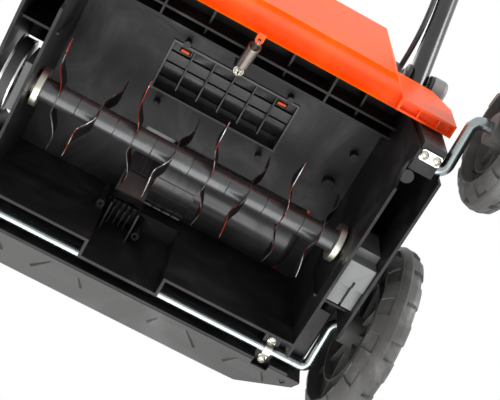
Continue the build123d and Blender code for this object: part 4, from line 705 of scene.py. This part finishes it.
# raised pads on the bumper's lower slope: a four-sided ring on the slope and the same ring a little
# smaller, moved out from the slope by each corner's own height
def makeBumperPads():
    (startY, startZ), (endY, endZ) = bumperPad["slope"]
    rise = (endZ - startZ) / (endY - startY)
    outward = np.array([0, rise, -1]) / math.hypot(1, rise)
    parts = []
    for side in (-1, 1):
        for corners in bumperPad["corners"]:
            flat = np.array([(side * x, y, startZ + (y - startY) * rise) for x, y in corners])
            inner = flat.mean(0) + (flat - flat.mean(0)) * bumperPad["shrink"]
            raised = inner + np.array(bumperPad["proud"])[:, None] * outward
            parts.append(gridPart(spot(*np.moveaxis(np.stack([flat - outward, flat, raised]), -1, 0))))
    piece = addPiece(meshOf("bumperPads", parts), "bumperPads", bumperPlastic, "deck",
                     angle=30)
    softenEdges(piece, bumperPad["bevel"], 2, 15)


makeStraps()
makeBumperPads()
makeNosePanels()
makeDuctRibs()
print("deck parts made")

# round bars and tubes
bars = {"rod": 6.0, "bend": 9.5, "crankSide": 206.0, "frontEnd": 255.5,
        "rearInner": 174.5, "rearEnd": 259.5, "sides": 40, "section": (0, 0.14, 0.99)}


# a bent bar: a round section carried along a line of straight runs joined by arcs
def barPiece(name, runs, body, stands):
    side = np.array(bars["section"], float)
    parts = [gridPart(tubeGrid(spot(*roundedPath(points, bars["bend"]).T), bars["rod"] / 1000,
                               bars["sides"], side)) for points in runs]
    addPiece(meshOf(name, parts), name, zincBright, body, stands, angle=50)


frontHub, frontRod = (-77.06, -1.93), (-134.5, -10.0)  # rearward and up from the rotor's axis
rearHub, rearRod = (182.43, -28.93), (125.0, -37.0)
crank, frontEnd = bars["crankSide"], bars["frontEnd"]
barPiece("frontAxleBar",
         [[(-frontEnd, *frontHub), (-crank, *frontHub), (-crank, *frontRod), (crank, *frontRod),
           (crank, *frontHub), (frontEnd, *frontHub)]], "front_axle", ("front_axle",))
barPiece("rearAxleBars",
         [[(s * bars["rearInner"], *rearRod), (s * crank, *rearRod), (s * crank, *rearHub),
           (s * bars["rearEnd"], *rearHub)] for s in (-1, 1)], "deck", ("rear_axles",))
print("bars made")

# the lead
handle = {"angle": 48.0, "pivot": (156.0, 113.0), "fold": 490.0}
lead = {"radius": 3.0, "side": -155.7, "upperSide": -178.1, "split": 440.0, "top": 806.0}


# a point up the handle from its pivot, moved out from its upper side
def onHandle(x, up, out=0.0):
    c, s = math.cos(math.radians(handle["angle"])), math.sin(math.radians(handle["angle"]))
    return (x, handle["pivot"][0] + up * c - out * s, handle["pivot"][1] + up * s + out * c)


# a smooth line led by its control points: a quadratic curve from the middle of each run to the middle of
# the next, bent towards the corner between them, with straight ends
def smoothPath(points, steps=14):
    points = np.asarray(points, float)
    middle = (points[:-1] + points[1:]) / 2
    t = np.linspace(0, 1, steps, endpoint=False)[:, None]
    curves = [(1 - t) ** 2 * a + 2 * t * (1 - t) * b + t ** 2 * c
              for a, b, c in zip(middle, points[1:-1], middle[1:])]
    start = points[0] + (middle[0] - points[0]) * np.linspace(0, 1, 4, endpoint=False)[:, None]
    end = middle[-1] + (points[-1] - middle[-1]) * np.linspace(0, 1, 24)[:, None]
    return np.concatenate([start, *curves, end])


# the two halves of the lead: round tubes along smooth lines, each bent over the fold it crosses
def makeLeads():
    fold, side, upper = handle["fold"], lead["side"], lead["upperSide"]
    lower = [(-142.5, 86.0, 134.0), (-152.0, 115.0, 140.5), (-154.0, 150.0, 146.5),
             (-154.6, 184.0, 151.0), (-155.2, 212.0, 170.0), onHandle(side, 125.0), onHandle(side, 220.0),
             onHandle(side, lead["split"])]
    higher = [onHandle(side, lead["split"]), onHandle(side, fold - 35), onHandle(side, fold - 12, -11.0),
              onHandle(side - 0.4, fold + 13, -16.0), onHandle(-163.0, fold + 45, -16.0),
              onHandle(-172.0, fold + 78, -11.0), onHandle(upper, fold + 115), onHandle(upper, fold + 200),
              onHandle(upper, lead["top"])]
    for name, node, points, bodies, start, end in (
            ("lowerLead", "lead_lower", lower, ("deck", "lower_handle"), lower[0], lower[5]),
            ("upperLead", "lead_upper", higher, ("lower_handle", "upper_handle"), higher[1], higher[6])):
        grid = tubeGrid(spot(*smoothPath(points).T), lead["radius"] / 1000, 20, sideVector)
        piece = addPiece(meshOf(name, [gridPart(grid)]), name, leadRubber, None, (node,))
        spot(*start)
        spot(*end)
        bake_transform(piece)


makeLeads()
print("leads made")

# wheels
wheel = {"face": 220.0, "width": 34.0, "radius": 102.0, "blocks": 15,
         "rearFace": 226.0, "rearWidth": 32.0, "rearRadius": 75.0, "rearBlocks": 13,
         "tread": 3.6, "drop": 0.176, "bandFrom": 8.0, "bandTo": 19.5, "raised": 0.54, "start": 12.3,
         "mouldLine": 0.35, "lowRib": 0.4, "spokes": 8, "webDepth": 15.0, "ring": 0.545, "bore": 6.1}


# the tyre: a crowned section turned about the axle; a row of blocks runs along each side of a full-height
# band, and between two blocks the surface sinks by the tread's depth, with steep walls; the band carries a
# low rib and a fine moulding line
def tyreGrid(side, inner, width, radius, y, z, blocks):
    drop = wheel["drop"] * radius
    low, high = wheel["bandFrom"], wheel["bandTo"]
    x = np.array([0, 0, 0.6, 2, 4, 6, low - 0.15, low + 0.15, low + 1.0, low + 1.3, low + 1.6, low + 2.4,
                  low + 2.9, high - 2.4, high - 1.9, high - 0.15, high + 0.15, 22, 25, width - 8, width - 5,
                  width - 3, width - 1, width, width])
    crown = np.interp(x, [0, 4, 9, 16, width - 8, width - 3, width],
                      [radius - drop, radius - 0.55 * drop, radius - 0.22 * drop, radius - 0.4,
                       radius - 0.4, radius - 0.15 * drop, radius - 0.45 * drop])
    crown[9] += wheel["mouldLine"]
    crown[12:14] += wheel["lowRib"]
    share = wheel["raised"]
    fraction = np.concatenate([[0.0], np.linspace(0.012, share - 0.012, 9), [share],
                               np.linspace(share, 1, 8)[1:-1]])
    top = np.concatenate([[0.0], np.ones(9), np.zeros(7)])
    turn = ((np.arange(blocks)[:, None] + fraction[None]) * 2 * np.pi / blocks).ravel()
    raised = np.tile(top, blocks)[None]
    band = ((x > low) & (x < high))[:, None]
    r = crown[:, None] - wheel["tread"] * (1 - np.where(band, 1.0, raised))
    r[0], r[-1] = radius - 20, radius - 16
    turn = turn - math.radians(wheel["start"])
    return spot(side * (inner + np.repeat(x[:, None], len(turn), 1)), y + r * np.cos(turn),
                z + r * np.sin(turn))


# the middle: rim wall, recessed web with a ring rib and hub turned as one section, then low ribs as spokes
def wheelParts(side, inner, width, radius, y, z, blocks):
    outer, web, ring = inner + width, inner + wheel["webDepth"], wheel["ring"] * radius
    section = [(inner, radius - 20), (inner + 0.4, radius - 20.8), (web - 1, radius - 21.4),
               (web, radius - 23), (web, ring + 1.2), (web - 9, ring + 0.8), (web - 9, ring - 0.8),
               (web, ring - 1.2), (web, 18), (web - 1.5, 16.6), (inner - 3.4, 16), (inner - 4, 15.4),
               (inner - 4, wheel["bore"]), (outer - 2, wheel["bore"]), (outer - 2, 15.4),
               (outer - 2.6, 16), (outer - 8, 16.6), (outer - 8, radius - 17.4),
               (outer - 0.4, radius - 16.6), (outer, radius - 16)]
    parts = [gridPart(tyreGrid(side, inner, width, radius, y, z, blocks), closedRows=True),
             gridPart(turnedGrid(np.array(section) * (side, 1), y, z, 144), closedRows=True)]
    along = np.array([15.8, radius - 21])
    depth = wheel["webDepth"]
    for angle in (np.arange(wheel["spokes"]) + 0.5) * 2 * np.pi / wheel["spokes"]:
        c, s = math.cos(angle), math.sin(angle)
        loop = np.array([(-1.1, depth + 0.5), (-0.8, depth - 4.4), (-0.5, depth - 4.8), (0.5, depth - 4.8),
                         (0.8, depth - 4.4), (1.1, depth + 0.5)])
        r, t, x = along[:, None], loop[None, :, 0], loop[None, :, 1]
        parts.append(gridPart(spot(side * (inner + x + 0 * r), y + r * c - t * s, z + r * s + t * c)))
    return parts


def makeWheels():
    for name, inner, width, radius, hub, blocks in (
            ("front", wheel["face"], wheel["width"], wheel["radius"], frontHub, wheel["blocks"]),
            ("rear", wheel["rearFace"], wheel["rearWidth"], wheel["rearRadius"], rearHub,
             wheel["rearBlocks"])):
        for side, hand in ((1, "left"), (-1, "right")):
            parts = wheelParts(side, inner, width, radius, *hub, blocks)
            node = name + "_wheel_" + hand
            mesh = meshOf(node, parts, finish=[0] + [1] * (len(parts) - 1))
            addPiece(mesh, name + "Wheel" + hand.title(), [tyreRubber, wheelPlastic], node,
                     (node,), angle=30)


makeWheels()
print("wheels made")

# stage: a pale floor seen from above only, a white surround and soft lamps
stageSetup = {"floorSize": 6.0, "floorColour": (0.78, 0.78, 0.77), "worldFill": 0.8}


def makeFloor():
    half = stageSetup["floorSize"] / 2
    corners = np.array([[[-half, -half, 0], [half, -half, 0]], [[-half, half, 0], [half, half, 0]]], float)
    mesh = meshOf("floor", [gridPart(corners, closedColumns=False)])
    material, tree, shader = newMaterial("floorPaint")
    shader.inputs["Base Color"].default_value = (*stageSetup["floorColour"], 1)
    shader.inputs["Roughness"].default_value = 0.7
    clear = tree.nodes.new("ShaderNodeBsdfTransparent")
    path = tree.nodes.new("ShaderNodeLightPath")
    facing = tree.nodes.new("ShaderNodeNewGeometry")
    front = put(tree, "ShaderNodeMath", {0: 1.0}, operation="SUBTRACT")
    join(tree, facing, "Backfacing", front, 1)
    seen = put(tree, "ShaderNodeMath", operation="MULTIPLY")
    tree.links.new(front.outputs[0], seen.inputs[0])
    tree.links.new(path.outputs["Is Camera Ray"], seen.inputs[1])
    mix = tree.nodes.new("ShaderNodeMixShader")
    tree.links.new(seen.outputs[0], mix.inputs["Fac"])
    tree.links.new(clear.outputs[0], mix.inputs[1])
    tree.links.new(shader.outputs[0], mix.inputs[2])
    tree.links.new(mix.outputs[0], tree.nodes["Material Output"].inputs["Surface"])
    floor = bpy.data.objects.new("floor", mesh)
    mesh.materials.append(material)
    bpy.context.scene.collection.objects.link(floor)


def makeWorld():
    world = bpy.data.worlds.new("whiteSurround")
    world.use_nodes = True
    bpy.context.scene.world = world
    tree = world.node_tree
    fill = tree.nodes["Background"]
    fill.inputs["Color"].default_value = (1, 1, 1, 1)
    fill.inputs["Strength"].default_value = stageSetup["worldFill"]
    white = put(tree, "ShaderNodeBackground", {"Color": (1, 1, 1, 1), "Strength": 1.0})
    path = tree.nodes.new("ShaderNodeLightPath")
    either = put(tree, "ShaderNodeMath", operation="MAXIMUM")
    third = put(tree, "ShaderNodeMath", operation="MAXIMUM")
    join(tree, path, "Is Camera Ray", either, 0)
    join(tree, path, "Is Glossy Ray", either, 1)
    tree.links.new(either.outputs[0], third.inputs[0])
    join(tree, path, "Is Transmission Ray", third, 1)
    mix = tree.nodes.new("ShaderNodeMixShader")
    tree.links.new(third.outputs[0], mix.inputs["Fac"])
    tree.links.new(fill.outputs[0], mix.inputs[1])
    tree.links.new(white.outputs[0], mix.inputs[2])
    tree.links.new(mix.outputs[0], tree.nodes["World Output"].inputs["Surface"])


# each lamp: its place, what it points at, its size in metres and its watts
lamps = {"overhead": ((0.6, -0.3, 2.2), (0, 0, 0.3), 1.6, 20.0),
         "side": ((-1.5, 1.1, 0.15), (0, 0, 0.15), 1.0, 34.0),
         "front": ((0.2, -1.45, -0.5), (0, -0.2, 0.1), 1.0, 6.0),
         "below": ((-0.12, -0.85, -1.1), (0, -0.25, 0.05), 1.3, 16.0)}


def makeLamps():
    for name, (place, target, size, power) in lamps.items():
        data = bpy.data.lights.new(name, "AREA")
        data.size = size
        data.energy = power
        lamp = bpy.data.objects.new(name, data)
        aim = (Vector(target) - Vector(place)).to_track_quat("-Z", "Y")
        lamp.matrix_world = Matrix.Translation(place) @ aim.to_matrix().to_4x4()
        lamp.visible_camera = False
        bpy.context.scene.collection.objects.link(lamp)


makeFloor()
makeWorld()
makeLamps()
bpy.context.scene.view_settings.view_transform = "Standard"
print("stage ready")
